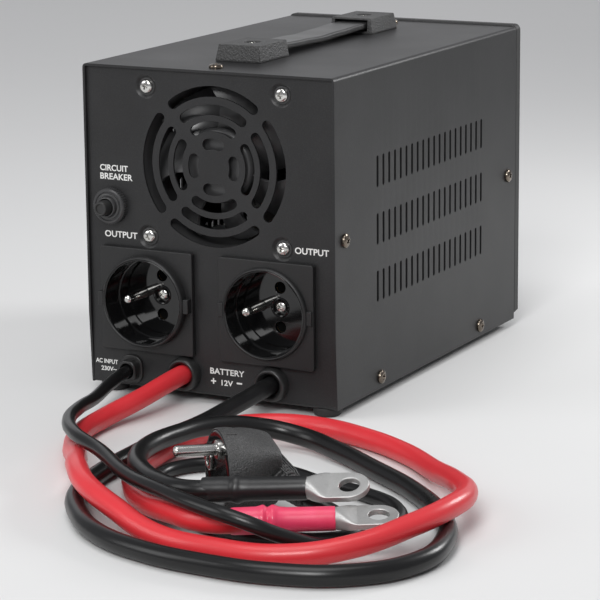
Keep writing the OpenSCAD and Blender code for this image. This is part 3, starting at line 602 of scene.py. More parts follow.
def gloss_plastic():
    return finish(
        "Glossy black plastic", (0.004, 0.004, 0.0042), 0.07, grain=260, depth=0.003, spread=0.06,
        drift=0.2, speckle=0.05, specular=0.6,
    )


def fan_plastic():
    return finish("Fan plastic", (0.04, 0.04, 0.041), 0.3, grain=500, depth=0.008, speckle=0.1)


def bright_zinc():
    return finish(
        "Bright zinc", (0.7, 0.695, 0.67), 0.2, metallic=1, grain=900, depth=0.006, spread=0.3,
        patches=260, second=(0.5, 0.49, 0.46), speckle=0.15,
    )


def dark_nickel():
    return finish(
        "Dark nickel", (0.22, 0.185, 0.15), 0.22, metallic=1, grain=800, depth=0.006, spread=0.3,
        patches=240, second=(0.1, 0.085, 0.07), speckle=0.2,
    )


def tinned_copper():
    return finish(
        "Tinned copper", (0.56, 0.56, 0.55), 0.46, metallic=0.85, grain=620, depth=0.04, spread=0.25,
        patches=120, second=(0.42, 0.415, 0.405), speckle=0.3,
    )


def brass():
    return finish("Brass", (0.74, 0.52, 0.22), 0.28, metallic=1, grain=700, depth=0.006, patches=120)


def red_jacket():
    colour = tuple(bpy.context.scene.inverter_leads.plus_colour)
    return finish(
        "Red cable jacket", colour, 0.36, grain=900, depth=0.006, spread=0.16, drift=0.1, speckle=0.1,
        second=(colour[0] * 0.82, colour[1] * 0.8, colour[2] * 0.8), coat=0.12,
    )


def black_jacket():
    return finish(
        "Black cable jacket", (0.005, 0.005, 0.0052), 0.3, grain=700, depth=0.006, spread=0.16,
        drift=0.5, speckle=0.15, specular=0.42,
    )


def red_shrink():
    colour = tuple(bpy.context.scene.inverter_leads.shrink_colour)
    return finish(
        "Red heat-shrink", colour, 0.34, grain=170, depth=0.05, spread=0.2, patches=120, speckle=0.1,
        second=(colour[0] * 0.9, colour[1] * 0.55, colour[2] * 0.6), coat=0.1,
    )


def black_shrink():
    return finish(
        "Black heat-shrink", (0.009, 0.009, 0.0095), 0.36, grain=170, depth=0.05, spread=0.2, speckle=0.2
    )


def black_rubber():
    return finish("Black rubber", (0.014, 0.014, 0.014), 0.62, grain=1200, depth=0.012, speckle=0.35)


def handle_plastic():
    colour = tuple(bpy.context.scene.inverter_handle.cap_colour)
    return finish("Grained handle plastic", colour, 0.5, grain=1150, depth=0.3, drift=1.2, speckle=1.0)


def strap_rubber():
    return finish("Strap", (0.03, 0.03, 0.03), 0.34, grain=1500, depth=0.012, speckle=0.3)


def panel_ink():
    colour = tuple(bpy.context.scene.inverter_case.print_colour)
    return finish("Panel ink", colour, 0.55, grain=1700, depth=0.01, drift=-0.12, speckle=0.4)


def outlet_plastic():
    return finish("Outlet plastic", (0.0095, 0.0095, 0.0098), 0.46, grain=1500, depth=0.05, speckle=0.8)


# Near-black, matte, barely glossy finish: painted shade that makes the contact holes read as deep dark holes
def shutter_painted_shade():
    return finish("Shutter painted hole shade", (0.0012, 0.0012, 0.0012), 0.9, grain=900, depth=0.01, specular=0.1)


def plug_plastic():
    return finish("Grained plug plastic", (0.024, 0.024, 0.024), 0.42, grain=1500, depth=0.45, drift=1.6, speckle=2.0)


def grommet_rubber():
    return finish("Grommet rubber", (0.016, 0.016, 0.016), 0.34, grain=900, depth=0.008, spread=0.15, speckle=0.2)


def dark_steel():
    return finish("Blackened steel", (0.06, 0.06, 0.062), 0.32, metallic=1, grain=900, depth=0.006, patches=200)


def red_button():
    return finish("Red button", (0.5, 0.012, 0.01), 0.3, grain=1400, depth=0.006, drift=0.1, speckle=0.1, coat=0.2)


def screen_glow():
    return finish(
        "Display screen", (0.16, 0.3, 0.34), 0.35, grain=600, depth=0.002, drift=0.08, speckle=0.05,
        Emission_Color=(0.12, 0.5, 0.62, 1), Emission_Strength=0.25,
    )


def screen_ink():
    return finish("Display digits", (0.01, 0.015, 0.02), 0.4, grain=600, depth=0.002, speckle=0.05)


def window_glass():
    return finish(
        "Display window", (0.75, 0.82, 0.85), 0.06, grain=200, depth=0.001, spread=0.03, drift=0.03,
        speckle=0.02, Transmission_Weight=0.92, IOR=1.49,
    )


def board_green():
    return finish("Circuit board", (0.02, 0.1, 0.035), 0.38, grain=900, depth=0.01, second=(0.03, 0.15, 0.05), coat=0.2)


def aluminium():
    return finish(
        "Extruded aluminium", (0.55, 0.55, 0.56), 0.38, metallic=1, grain=700, depth=0.02, stretch=(1, 0.05, 1),
        patches=80,
    )


def core_laminations():
    return finish(
        "Core laminations", (0.09, 0.09, 0.1), 0.45, metallic=1, grain=900, depth=0.05, stretch=(0.03, 1, 0.03),
        second=(0.16, 0.13, 0.1), patches=60,
    )


def enamelled_copper():
    return finish(
        "Enamelled copper", (0.42, 0.13, 0.04), 0.3, metallic=0.8, grain=700, depth=0.12, stretch=(0.04, 0.04, 1),
        second=(0.6, 0.24, 0.08), patches=90,
    )


def blue_sleeve():
    return finish("Capacitor sleeve", (0.012, 0.03, 0.13), 0.3, grain=500, depth=0.006, coat=0.2)


def steatite():
    return finish("Brown ceramic", (0.11, 0.075, 0.05), 0.4, grain=900, depth=0.02, speckle=0.4)


def floor_finish():
    return finish(
        "Pale floor", (0.74, 0.74, 0.735), 0.7, grain=300, depth=0.01, drift=-0.015, patches=3, speckle=0.02
    )


# ---- Stage ----
class INVERTER_OT_stage(bpy.types.Operator):
    """Camera, pale floor and soft studio lights"""

    bl_idname = "inverter.stage"
    bl_label = "Stage"

    camera_place: FloatVectorProperty(
        name="Camera", description="Place of the camera, mm", size=3, default=(597.9, -1156.5, 325.1)
    )
    azimuth: FloatProperty(name="Azimuth", description="Degrees left of +Y", default=27.56)
    elevation: FloatProperty(name="Elevation", description="Degrees looking down", default=12.79)
    roll: FloatProperty(name="Roll", description="Degrees clockwise", default=-0.54)
    lens: FloatProperty(name="Lens", description="Focal length, mm", default=158.68)

    def execute(self, context):
        camera = bpy.data.cameras.new("camera")
        camera.lens = self.lens
        camera.sensor_width = 36
        camera.clip_start, camera.clip_end = 0.05, 20
        eye = new_object("camera", camera)
        turn = Matrix.Rotation(math.radians(self.azimuth), 4, "Z")
        tilt = Matrix.Rotation(math.radians(90 - self.elevation), 4, "X")
        roll = Matrix.Rotation(math.radians(self.roll), 4, "Z")
        eye.matrix_world = Matrix.Translation(Vector(self.camera_place) * MM) @ turn @ tilt @ roll
        context.scene.camera = eye

        floor = bmesh.new()
        bmesh.ops.create_grid(floor, x_segments=2, y_segments=2, size=6)
        mesh = bpy.data.meshes.new("floor")
        floor.to_mesh(mesh)
        floor.free()
        mesh.materials.append(floor_finish())
        ground = new_object("floor", mesh)
        ground.location.z = -0.0003

        centre = Vector((0.03, -0.07, 0.08))
        for name, place, width, height, power in (
            ("key light", (0.5, -1.95, 1.35), 0.7, 0.7, 25),
            ("fill light", (-1.3, -1.3, 1.0), 1.0, 1.0, 8),
            ("side light", (0.44, 0.46, 0.42), 0.22, 0.22, 2.4),
            ("back light", (-0.95, 1.75, 0.75), 2.4, 1.0, 3.2),
            ("top light", (0.0, -0.5, 2.0), 1.2, 1.2, 14),
        ):
            light = bpy.data.lights.new(name, "AREA")
            light.shape = "RECTANGLE"
            light.size, light.size_y = width, height
            light.energy = power
            lamp = new_object(name, light)
            lamp.matrix_world = along(Vector(place), Vector(place) - centre)
        world = bpy.data.worlds.new("studio")
        world.use_nodes = True
        world.node_tree.nodes["Background"].inputs["Color"].default_value = (0.94, 0.95, 1, 1)
        world.node_tree.nodes["Background"].inputs["Strength"].default_value = 0.3
        context.scene.world = world
        context.scene.view_settings.view_transform = "Standard"
        return {"FINISHED"}


# ---- Leads ----
def lay_cord(name, route, diameter, material, node):
    """A lead as a bevelled curve along its route."""
    curve = bpy.data.curves.new(name, "CURVE")
    curve.dimensions = "3D"
    curve.bevel_depth = diameter / 2 * MM
    curve.bevel_resolution = 6
    curve.resolution_u = 10
    curve.use_fill_caps = True
    spline = curve.splines.new("BEZIER")
    spline.bezier_points.add(len(route) - 1)
    for point, place in zip(spline.bezier_points, route):
        point.co = Vector(place) * MM
        point.handle_left_type = point.handle_right_type = "AUTO"
    curve.materials.append(material)
    cord = new_object(name, curve)
    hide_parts(node)
    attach(cord, "root")


class INVERTER_OT_leads(bpy.types.Operator):
    """The two battery cables and the mains lead"""

    bl_idname = "inverter.leads"
    bl_label = "Leads"

    def execute(self, context):
        leads = context.scene.inverter_leads
        lay_cord(
            "positive_cable_jacket", PLUS_ROUTE, leads.plus_diameter, red_jacket(),
            "positive_cable",
        )
        lay_cord(
            "negative_cable_jacket", MINUS_ROUTE, leads.minus_diameter, black_jacket(),
            "negative_cable",
        )
        lay_cord(
            "mains_lead_jacket", MAINS_ROUTE, leads.mains_diameter, black_jacket(),
            "mains_lead",
        )
        return {"FINISHED"}


def wrinkle(bm, amount, scale):
    """Moves points along their normals by soft noise, in millimetres."""
    bm.normal_update()
    moves = [(v, v.normal * amount * noise.noise(v.co * scale)) for v in bm.verts]
    for vert, move in moves:
        vert.co += move


class INVERTER_OT_battery_ends(bpy.types.Operator):
    """Heat-shrink sleeves and crimped ring lugs of the battery cables"""

    bl_idname = "inverter.battery_ends"
    bl_label = "Battery cable ends"

    palm_width: FloatProperty(name="Palm", description="Width of the lugs, mm", default=16)
    palm_thickness: FloatProperty(name="Palm thickness", description="Sheet of the lugs, mm", default=2.6)
    hole: FloatProperty(name="Hole", description="Diameter of the bolt hole, mm", default=8.4)

    def sleeve(self, name, material, slot, node, end, profile):
        bm = bmesh.new()
        add_lathe(bm, profile, Vector(), X, steps=40, closed=True)
        bmesh.ops.remove_doubles(bm, verts=bm.verts, dist=0.001)
        bmesh.ops.recalc_face_normals(bm, faces=bm.faces)
        wrinkle(bm, 0.14, 0.35)
        bm.transform(end)
        add_piece(name, bm, material, [node], smooth=50)

    def lug(self, name, node, end, start):
        width, thick = self.palm_width, self.palm_thickness
        bm = bmesh.new()
        loops = []
        for x, w, t, power in (
            (-12, 8.4, 8.4, 2), (-1, 8.4, 8.4, 2), (0.4, 9.2, 8.3, 2.4), (2.2, 11.4, 7.6, 3), (4.2, 13.8, 6.2, 4),
            (6, 15.3, 4.6, 6), (7.6, width - 0.1, 3.2, 10), (8.6, width, thick, 14),
        ):
            loop = []
            for i in range(40):
                a = math.tau * i / 40
                c, s = math.cos(a), math.sin(a)
                y = math.copysign(abs(c) ** (2 / power), c) * w / 2
                z = math.copysign(abs(s) ** (2 / power), s) * t / 2
                loop.append(Vector((start + x, y, z)))
            loops.append(loop)
        add_loft(bm, loops)
        half = width / 2
        tip = [
            (start + 17 + half * math.cos(a), half * math.sin(a))
            for a in (math.radians(-90 + 180 * i / 24) for i in range(25))
        ]
        palm = cut_sheet(
            [(start + 8.2, -half), *tip, (start + 8.2, half)],
            [circle(start + 17, 0, self.hole / 2)], thick, edge=0.45, steps=3,
        )
        join(bm, palm, Matrix.Translation((0, 0, -thick / 2)))
        bm.transform(end)
        add_piece(name, bm, tinned_copper(), [node], smooth=40)

    def execute(self, context):
        plus, minus = end_place(PLUS_END), end_place(MINUS_END)
        self.sleeve(
            "positive_sleeve_part", red_shrink(), "red_shrink", "positive_sleeve", plus,
            [(0, 4.8), (0, 5.3), (1.5, 5.45), (6, 5.5), (10, 5.55), (11.4, 5.85), (12.5, 6.15), (13.2, 5.95),
             (13.9, 5.35), (14.5, 5.2), (15.1, 5.5), (15.9, 6.05), (16.8, 6.15), (17.8, 5.7), (19, 5.2),
             (22, 5.0), (30, 4.9), (39.8, 4.85), (41, 4.7), (41, 4.25), (20, 4.25), (17, 4.8)],
        )
        self.sleeve(
            "negative_sleeve_part", black_shrink(), "black_shrink", "negative_sleeve", minus,
            [(0, 4.4), (0, 5.0), (1.5, 5.2), (8, 5.25), (11.5, 5.2), (12.6, 5.5), (13.6, 5.95),
             (14.8, 5.95), (15.8, 5.45), (17.2, 5.05), (20, 4.9), (34, 4.85), (41.8, 4.85), (43, 4.7),
             (43, 4.25), (20, 4.25), (17, 4.4)],
        )
        self.lug("positive_lug_part", "positive_lug", plus, 41)
        self.lug("negative_lug_part", "negative_lug", minus, 43)
        return {"FINISHED"}


class INVERTER_OT_plug(bpy.types.Operator):
    """Mains plug with its ribbed strain relief, pins and earth clips"""

    bl_idname = "inverter.plug"
    bl_label = "Mains plug"

    pin_pitch: FloatProperty(name="Pin pitch", description="Distance between pins, mm", default=19)
    pin_length: FloatProperty(name="Pin length", description="How far the pins stand out, mm", default=19)
    relief_ribs: IntProperty(name="Ribs", description="Ribs of the strain relief", default=9)
    grip_plates: IntProperty(name="Plates", description="Thin plates of the grip", default=6)

    def execute(self, context):
        place = end_place(PLUG_PLACE)
        bm = bmesh.new()
        # Shell: round at the face, squarer and narrower behind, with a crisp step at its back
        loops = []
        for x, w, t, power in (
            (0.9, 33.4, 33.4, 2), (0.4, 34, 34, 2), (0.5, 34.6, 34.6, 2), (1, 35, 35, 2), (4.5, 35, 35, 2.05),
            (7, 34, 34, 2.2), (8.2, 32.4, 32.8, 2.5), (12, 30.4, 31, 3.6), (16.5, 28.2, 28.6, 5), (20.5, 26, 26.6, 6.5),
            (23, 24.6, 25, 6.5), (23.9, 23.8, 24.2, 6), (24.3, 22.4, 23.2, 4), (24.6, 14, 14, 2.6), (26.6, 10, 10, 2),
        ):
            loop = []
            for i in range(56):
                a = math.tau * i / 56
                c, s = math.cos(a), math.sin(a)
                loop.append(Vector((
                    x, math.copysign(abs(c) ** (2 / power), c) * w / 2,
                    math.copysign(abs(s) ** (2 / power), s) * t / 2,
                )))
            loops.append(loop)
        add_loft(bm, loops)
        # Guide marks in line with the pins
        for side in (-1, 1):
            add_soft_block(bm, (1.6, side * 17.2 - 0.5, -3), (6.4, side * 17.2 + 0.5, 3), 0.35)
        bm.transform(place)
        # Strain relief towards the lead
        root, tip = Vector(RELIEF_ROOT), Vector(MAINS_ROUTE[-1])
        length = (tip - root).length
        profile = [(-4, 0), (-4, 7), (2, 7.4), (4, 7)]
        for i in range(self.relief_ribs):
            a = 4.5 + (length - 6.5) * i / self.relief_ribs
            r = 6.7 - 2.1 * i / self.relief_ribs
            profile += [(a, r), (a + 0.3, r + 0.25), (a + 1.1, r + 0.2), (a + 1.35, r - 0.1), (a + 1.5, r - 1)]
            profile += [(a + 2.0, r - 1)]
        profile += [(length - 0.3, 4.4), (length, 4.1), (length, 0)]
        relief = bmesh.new()
        add_lathe(relief, profile, root, (tip - root).normalized(), steps=32)
        join(bm, relief)
        # Thin grip plates behind the shell, above the lead
        ahead = (tip - root).normalized()
        aside = ahead.cross(Z).normalized()
        over = aside.cross(ahead)
        for i in range(self.grip_plates):
            plate = bmesh.new()
            low, high = -1.5 + 0.5 * i, 8.6 - 0.25 * i
            outline = [(-2, low), (13.5 - 0.5 * i, low), (15 - 0.5 * i, 3), (12 - 0.5 * i, high - 2.6), (-2, high)]
            add_outline(plate, outline, 0.6, Matrix.Identity(4))
            turn = Matrix((
                (ahead.x, over.x, aside.x, 0), (ahead.y, over.y, aside.y, 0), (ahead.z, over.z, aside.z, 0), (0, 0, 0, 1),
            ))
            join(bm, plate, Matrix.Translation(root + ahead * 3 - aside * (1.5 * i - 1.5)) @ turn)
        add_piece("plug_shell", bm, plug_plastic(), ["plug_body"], smooth=32)

        face = bmesh.new()
        add_lathe(
            face,
            [(3, 0), (0.9, 0), (0.9, 11.8), (0.5, 12.4), (0.35, 13), (0.35, 15.8), (0.5, 16.4), (0.9, 16.9),
             (3, 16.9)],
            Vector(), X, steps=64,
        )
        face.transform(place)
        add_piece("plug_face", face, gloss_plastic(), smooth=35)

        metal = bmesh.new()
        for side in (-1, 1):
            start = Vector((0, side * self.pin_pitch / 2, 0))
            add_lathe(
                metal,
                [(-1.2, 0), (-1.2, 3.9), (-0.4, 4.1), (0.9, 3.9), (1.1, 2.5), (1.6, 2.4),
                 (self.pin_length - 1.4, 2.4), (self.pin_length - 0.5, 1.9), (self.pin_length - 0.1, 1.1),
                 (self.pin_length, 0)],
                start, -X, steps=28,
            )
            clip = bmesh.new()
            add_soft_block(clip, (-0.2, -3, 15.6), (7.4, 3, 17.1), 0.4)
            add_soft_block(clip, (-0.1, -2.4, 14.6), (0.8, 2.4, 16.9), 0.3)
            join(metal, clip, Matrix.Scale(side, 4, Z))
        # Earth contact for the outlet's pin
        contact = cut_sheet(rounded_box(0, -10, 7, 7, 1.6), [circle(0, -10, 2.3, 28)], 1.4, edge=0.3, steps=2)
        join(metal, contact, Matrix(((0, 0, 1, -0.7), (1, 0, 0, 0), (0, 1, 0, 0), (0, 0, 0, 1))))
        metal.transform(place)
        add_piece("plug_metal", metal, bright_zinc(), ["plug_pins", "plug_earth_clips"], smooth=40)
        return {"FINISHED"}


# ---- Case ----
class INVERTER_OT_chassis(bpy.types.Operator):
    """Bent steel chassis with the outlet panel and its fan grille"""

    bl_idname = "inverter.chassis"
    bl_label = "Chassis"

    def grille(self, spoke):
        """Four rings of round-ended slots, each ring crossed by four slanting spokes."""
        holes = []
        for inner, outer in GRILLE_RINGS:
            middle, end = (inner + outer) / 2, (outer - inner) / 2
            reach = math.radians(45) - math.asin((spoke / 2 + end) / middle)
            for quarter in range(4):
                turn = quarter * math.pi / 2
                loop = []
                for i in range(13):
                    a = turn - reach + 2 * reach * i / 12
                    loop.append((outer * math.cos(a), outer * math.sin(a)))
                for centre, first in ((turn + reach, turn + reach), (turn - reach, turn - reach + math.pi)):
                    cap = [
                        (
                            middle * math.cos(centre) + end * math.cos(first + math.pi * i / 8),
                            middle * math.sin(centre) + end * math.sin(first + math.pi * i / 8),
                        )
                        for i in range(1, 8)
                    ]
                    loop += cap
                    if centre > turn:
                        for i in range(13):
                            a = turn + reach - 2 * reach * i / 12
                            loop.append((inner * math.cos(a), inner * math.sin(a)))
                holes.append([(FAN.x + x, FAN.z + z) for x, z in loop])
        return holes

    def execute(self, context):
        case = context.scene.inverter_case
        sheet, bend = case.sheet, 1.6
        half = COVER_HIGH.x - sheet
        top = COVER_HIGH.z - sheet
        low = COVER_LOW.z
        bm = bmesh.new()
        # Outlet panel
        holes = self.grille(context.scene.inverter_fan.spoke)
        holes += [circle(x, z, 5.7, 32) for x, z in FAN_SCREWS]
        for node in ("outlet_left_cover", "outlet_right_cover"):
            centre = node_centre(node)
            holes.append(rounded_box(centre.x, OUTLET_Z, 46, 46, 2))
        holes.append(circle(BREAKER.x, BREAKER.z, 5.1, 32))
        holes += [circle(route[0][0], route[0][2], 6.8, 32) for route in (PLUS_ROUTE, MINUS_ROUTE)]
        holes.append(rounded_box(MAINS_ROUTE[0][0], MAINS_ROUTE[0][2], 9.2, 10, 0.5))
        outline = [(-half, low + bend), (half, low + bend), (half, top), (-half, top)]
        panel = cut_sheet(outline, holes, sheet, edge=0.12)
        join(bm, panel, Matrix.Translation((0, PANEL_Y + sheet, 0)) @ PANEL_PLANE)
        for x, z in FAN_SCREWS:
            add_lathe(
                bm,
                [(0, 5.85), (-0.12, 5.5), (-0.6, 4.7), (-1.15, 4.2), (-1.3, 3.9), (-1.3, 1.7),
                 (-2.4, 1.7), (-2.4, 4.4), (-1.2, 5.85)],
                Vector((x, PANEL_Y, z)), OUT, steps=40, closed=True,
            )
        # Panel at the display end
        back_holes = [rounded_box(0, WINDOW.z, 46, 24, 0.5), circle(0, BUTTON_Z, 6.4, 32)]
        back = cut_sheet(outline, back_holes, sheet, edge=0.12)
        join(bm, back, Matrix.Translation((0, COVER_HIGH.y, 0)) @ PANEL_PLANE)
        # Bottom, its two bends and the flanges inside the cover
        base = cut_sheet(
            [(-half, PANEL_Y + bend), (half, PANEL_Y + bend), (half, COVER_HIGH.y - bend),
             (-half, COVER_HIGH.y - bend)],
            [circle(x, y, 2, 20) for x, y in FEET], sheet, edge=0.12,
        )
        join(bm, base, Matrix.Translation((0, 0, low)))
        for y, side in ((PANEL_Y + bend, 1), (COVER_HIGH.y - bend, -1)):
            arc = [math.radians(90 * i / 6) for i in range(7)]
            outer = [(-side * bend * math.sin(a), -bend * math.cos(a)) for a in arc]
            inner = [(-side * (bend - sheet) * math.sin(a), -(bend - sheet) * math.cos(a)) for a in reversed(arc)]
            add_outline(
                bm, outer + inner, 2 * half,
                Matrix.Translation((-half, y, low + bend)) @ Matrix.Rotation(math.radians(90), 4, "Y")
                @ Matrix.Rotation(math.radians(90), 4, "Z"),
            )
        for side in (-1, 1):
            x = side * (half - sheet / 2)
            add_soft_block(
                bm, (x - sheet / 2, PANEL_Y + 1, low + 0.6), (x + sheet / 2, COVER_HIGH.y - 1, low + 14), 0.2
            )
            for y in (PANEL_Y + 0.6, COVER_HIGH.y - 18.6):
                add_soft_block(bm, (x - sheet / 2, y, 64), (x + sheet / 2, y + 18, 102), 0.2)
        for y in (PANEL_Y + 0.6, COVER_HIGH.y - 18.6):
            add_soft_block(bm, (-12, y, top - sheet), (12, y + 18, top - 0.05), 0.2)
        add_piece("chassis_sheet", bm, powder_coat(), ["chassis"], smooth=30)
        return {"FINISHED"}


class INVERTER_OT_cover(bpy.types.Operator):
    """Steel cover folded from one slotted sheet"""

    bl_idname = "inverter.cover"
    bl_label = "Cover"

    def execute(self, context):
        case = context.scene.inverter_case
        sheet, bend = case.sheet, case.bend
        flat = COVER_HIGH.x - bend
        arc = bend * math.pi / 2
        side = COVER_HIGH.z - bend - COVER_LOW.z
        reach = flat + arc + side
        front, back = COVER_LOW.y, COVER_HIGH.y
        lip = PANEL_Y - front
        outline = [
            (-reach, front + lip), (case.lip_taper - reach, front), (reach - case.lip_taper, front),
            (reach, front + lip), (reach, back), (-reach, back),
        ]
        rows = [54.7, 82.2, 109.7]
        middle = (front + back) / 2
        holes = []
        for hand in (-1, 1):
            for z in rows:
                u = hand * (flat + arc + COVER_HIGH.z - bend - z)
                for i in range(case.slot_count):
                    y = middle + (i - (case.slot_count - 1) / 2) * case.slot_pitch
                    holes.append(rounded_box(u, y, 15, 2, 0.98, steps=3))
        bm = cut_sheet(outline, holes, sheet, edge=0.14)
        for hand in (-1, 1):
            for step in range(7):
                bmesh.ops.bisect_plane(
                    bm, geom=bm.verts[:] + bm.edges[:] + bm.faces[:], dist=0.0005,
                    plane_co=(hand * (flat + arc * step / 6), 0, 0), plane_no=(1, 0, 0),
                )
        for vert in bm.verts:
            u, y, z = vert.co
            depth = sheet - z
            past = abs(u) - flat
            if past <= 0:
                x, height = abs(u), COVER_HIGH.z - depth
            elif past <= arc:
                x = flat + (bend - depth) * math.sin(past / bend)
                height = COVER_HIGH.z - bend + (bend - depth) * math.cos(past / bend)
            else:
                x, height = COVER_HIGH.x - depth, COVER_HIGH.z - bend - (past - arc)
            vert.co = (math.copysign(x, u), y, height)
        add_piece("cover_sheet", bm, powder_coat(), ["cover_shell"], smooth=30)
        return {"FINISHED"}


def screw_head(radius, height, recess=1.4):
    """Pan head standing on Z = 0, with a cross recess."""
    bm = bmesh.new()
    add_lathe(
        bm,
        [(0, 0), (0, radius * 0.96), (0.15, radius), (height * 0.4, radius), (height * 0.62, radius * 0.94),
         (height * 0.82, radius * 0.78), (height * 0.94, radius * 0.5), (height, 0)],
        Vector(), Z, steps=40,
    )
    for turn in (0, 90):
        tool = bmesh.new()
        verts = add_block(tool, (-radius * 0.6, -radius * 0.14, height - recess), (radius * 0.6, radius * 0.14, height + 1))
        for vert in verts:
            if vert.co.z < height:
                vert.co.x *= 0.45
                vert.co.y *= 0.7
        tool.transform(Matrix.Rotation(math.radians(turn + 18), 4, "Z"))
        bm = carve(bm, tool)
    return bm


def add_screws(name, places, radius, height, material, node, body="root"):
    """Equal screw heads at (point, outward direction, turn) places."""
    bm = bmesh.new()
    scatter(
        bm, screw_head(radius, height),
        [along(Vector(p), d) @ Matrix.Rotation(math.radians(turn), 4, "Z") for p, d, turn in places],
    )
    add_piece(name, bm, material, [node], body, smooth=28)


class INVERTER_OT_case_screws(bpy.types.Operator):
    """Screws of the cover, fascia and fan"""

    bl_idname = "inverter.case_screws"
    bl_label = "Case screws"

    def execute(self, context):
        places = []
        for side in (-1, 1):
            for i, (y, z) in enumerate([(-93.5, 83), (-55.8, 10), (61.2, 10), (96.2, 82.5)]):
                places.append(((side * COVER_HIGH.x, y, z), X * side, 31 * i + 12 * side))
        for i, y in enumerate((-92.8, 96.2)):
            places.append(((0, y, COVER_HIGH.z), Z, 25 + 40 * i))
        add_screws("cover_screw_heads", places, 3.4, 2, dark_nickel(), "cover_screws")
        places = [
            ((side * 52.5, FASCIA_BACK - 2, z), Y, 20 * side + z) for side in (-1, 1) for z in (20, 147)
        ]
        add_screws("fascia_screw_heads", places, 2.9, 1.6, dark_steel(), "fascia_screws")
        places = [
            ((x, PANEL_Y + 1.3, z), OUT, turn) for (x, z), turn in zip(FAN_SCREWS, (10, 55, 32, 78))
        ]
        add_screws("fan_screw_heads", places, 3.3, 2.2, bright_zinc(), "fan_screws")
        return {"FINISHED"}


class INVERTER_OT_feet(bpy.types.Operator):
    """Rubber feet"""

    bl_idname = "inverter.feet"
    bl_label = "Feet"

    def execute(self, context):
        bm = bmesh.new()
        for x, y in FEET:
            add_lathe(
                bm,
                [(0, 1.7), (0, 6.7), (-0.5, 7), (-1.6, 6.95), (-3.4, 6.6), (-3.9, 6.2), (-4, 5.6),
                 (-4, 3.9), (-3.8, 3.5), (-2.3, 3.4), (-2.2, 1.7)],
                Vector((x, y, COVER_LOW.z)), Z, steps=40, closed=True,
            )
        add_piece("feet_rubber", bm, black_rubber(), ["feet"])
        return {"FINISHED"}


class INVERTER_OT_display_end(bpy.types.Operator):
    """Fascia with the display and the power button"""

    bl_idname = "inverter.display_end"
    bl_label = "Display end"

    def execute(self, context):
        low, high = node_box("front_fascia")
        half, cut, soft = high.x, 3, 3
        outline = [(half - cut, low.z), (half, low.z + cut)]
        outline += [
            (half - soft + soft * math.cos(a), high.z - soft + soft * math.sin(a))
            for a in (math.radians(15 * i) for i in range(7))
        ]
        outline += [(-x, z) for x, z in reversed(outline)]
        holes = [rounded_box(0, WINDOW.z, 46, 24, 1), circle(0, BUTTON_Z, 6.4, 40)]
        holes += [circle(x, z, 3.4, 28) for x in (-52.5, 52.5) for z in (20, 147)]
        bm = cut_sheet(outline, holes, high.y - low.y, edge=0.9, steps=3)
        face = Matrix.Translation((0, high.y, 0)) @ PANEL_PLANE
        bm.transform(face)
        for x in (-52.5, 52.5):
            for z in (20, 147):
                add_lathe(
                    bm, ring_profile(1.6, 3.6, -3.6, -2.05), Vector((x, high.y, z)), Y, steps=28, closed=True
                )
        bezel = cut_sheet(
            rounded_box(0, WINDOW.z, 55, 33, 3), [rounded_box(0, WINDOW.z, 45, 23, 1.2)], 2, edge=0.5, steps=3
        )
        join(bm, bezel, Matrix.Translation((0, high.y + 1, 0)) @ PANEL_PLANE)
        add_lathe(
            bm,
            [(-0.6, 6.4), (0.7, 6.4), (0.95, 6.7), (1, 7.4), (0.85, 8.2), (0.3, 8.8), (-0.6, 9)],
            Vector((0, high.y, BUTTON_Z)), Y, steps=56, closed=True,
        )
        for i in range(7):
            add_soft_block(
                bm, (-24, high.y - 0.4, 36 + 4 * i), (24, high.y + 0.45, 37.6 + 4 * i), 0.3
            )
        add_piece("fascia_moulding", bm, textured_plastic(), ["front_fascia"], smooth=35)

        button = bmesh.new()
        face = high.y + 1.5
        add_lathe(
            button,
            [(-13.5, 0), (-13.5, 2), (-5.5, 2), (-5.4, 5.9), (-0.9, 5.95), (-0.25, 5.6), (0, 5.0),
             (-0.12, 4.2), (-0.4, 2.2), (-0.5, 0)],
            Vector((0, face, BUTTON_Z)), Y, steps=56,
        )
        add_piece(
            "power_button_cap", button, red_button(), ["power_button"], body="power_button",
        )

        screen = cut_sheet(rounded_box(0, WINDOW.z, 43, 21, 0.8), [], 0.5, edge=0.1)
        screen.transform(Matrix.Translation((0, BACK_Y + 0.95, 0)) @ PANEL_PLANE)
        add_piece("display_screen", screen, screen_glow())
        digits = bmesh.new()
        for words, left, bottom, width, height in (
            ("230", -17.5, 1.2, 13.5, 7), ("V", -2.4, 1.2, 3.4, 4), ("12.6", -17.5, -8.2, 17, 7), ("V", 1.4, -8.2, 3.4, 4),
            ("50", 8.4, 1.2, 8.4, 5), ("Hz", 8.4, -8.2, 5.2, 4),
        ):
            add_text(digits, words, left, WINDOW.z + bottom, width, height, 0)
        bmesh.ops.scale(digits, vec=(-1, 1, 1), verts=digits.verts)
        bmesh.ops.translate(digits, vec=(0, BACK_Y + 1.02, 0), verts=digits.verts)
        add_piece("display_digits", digits, screen_ink())
        return {"FINISHED"}


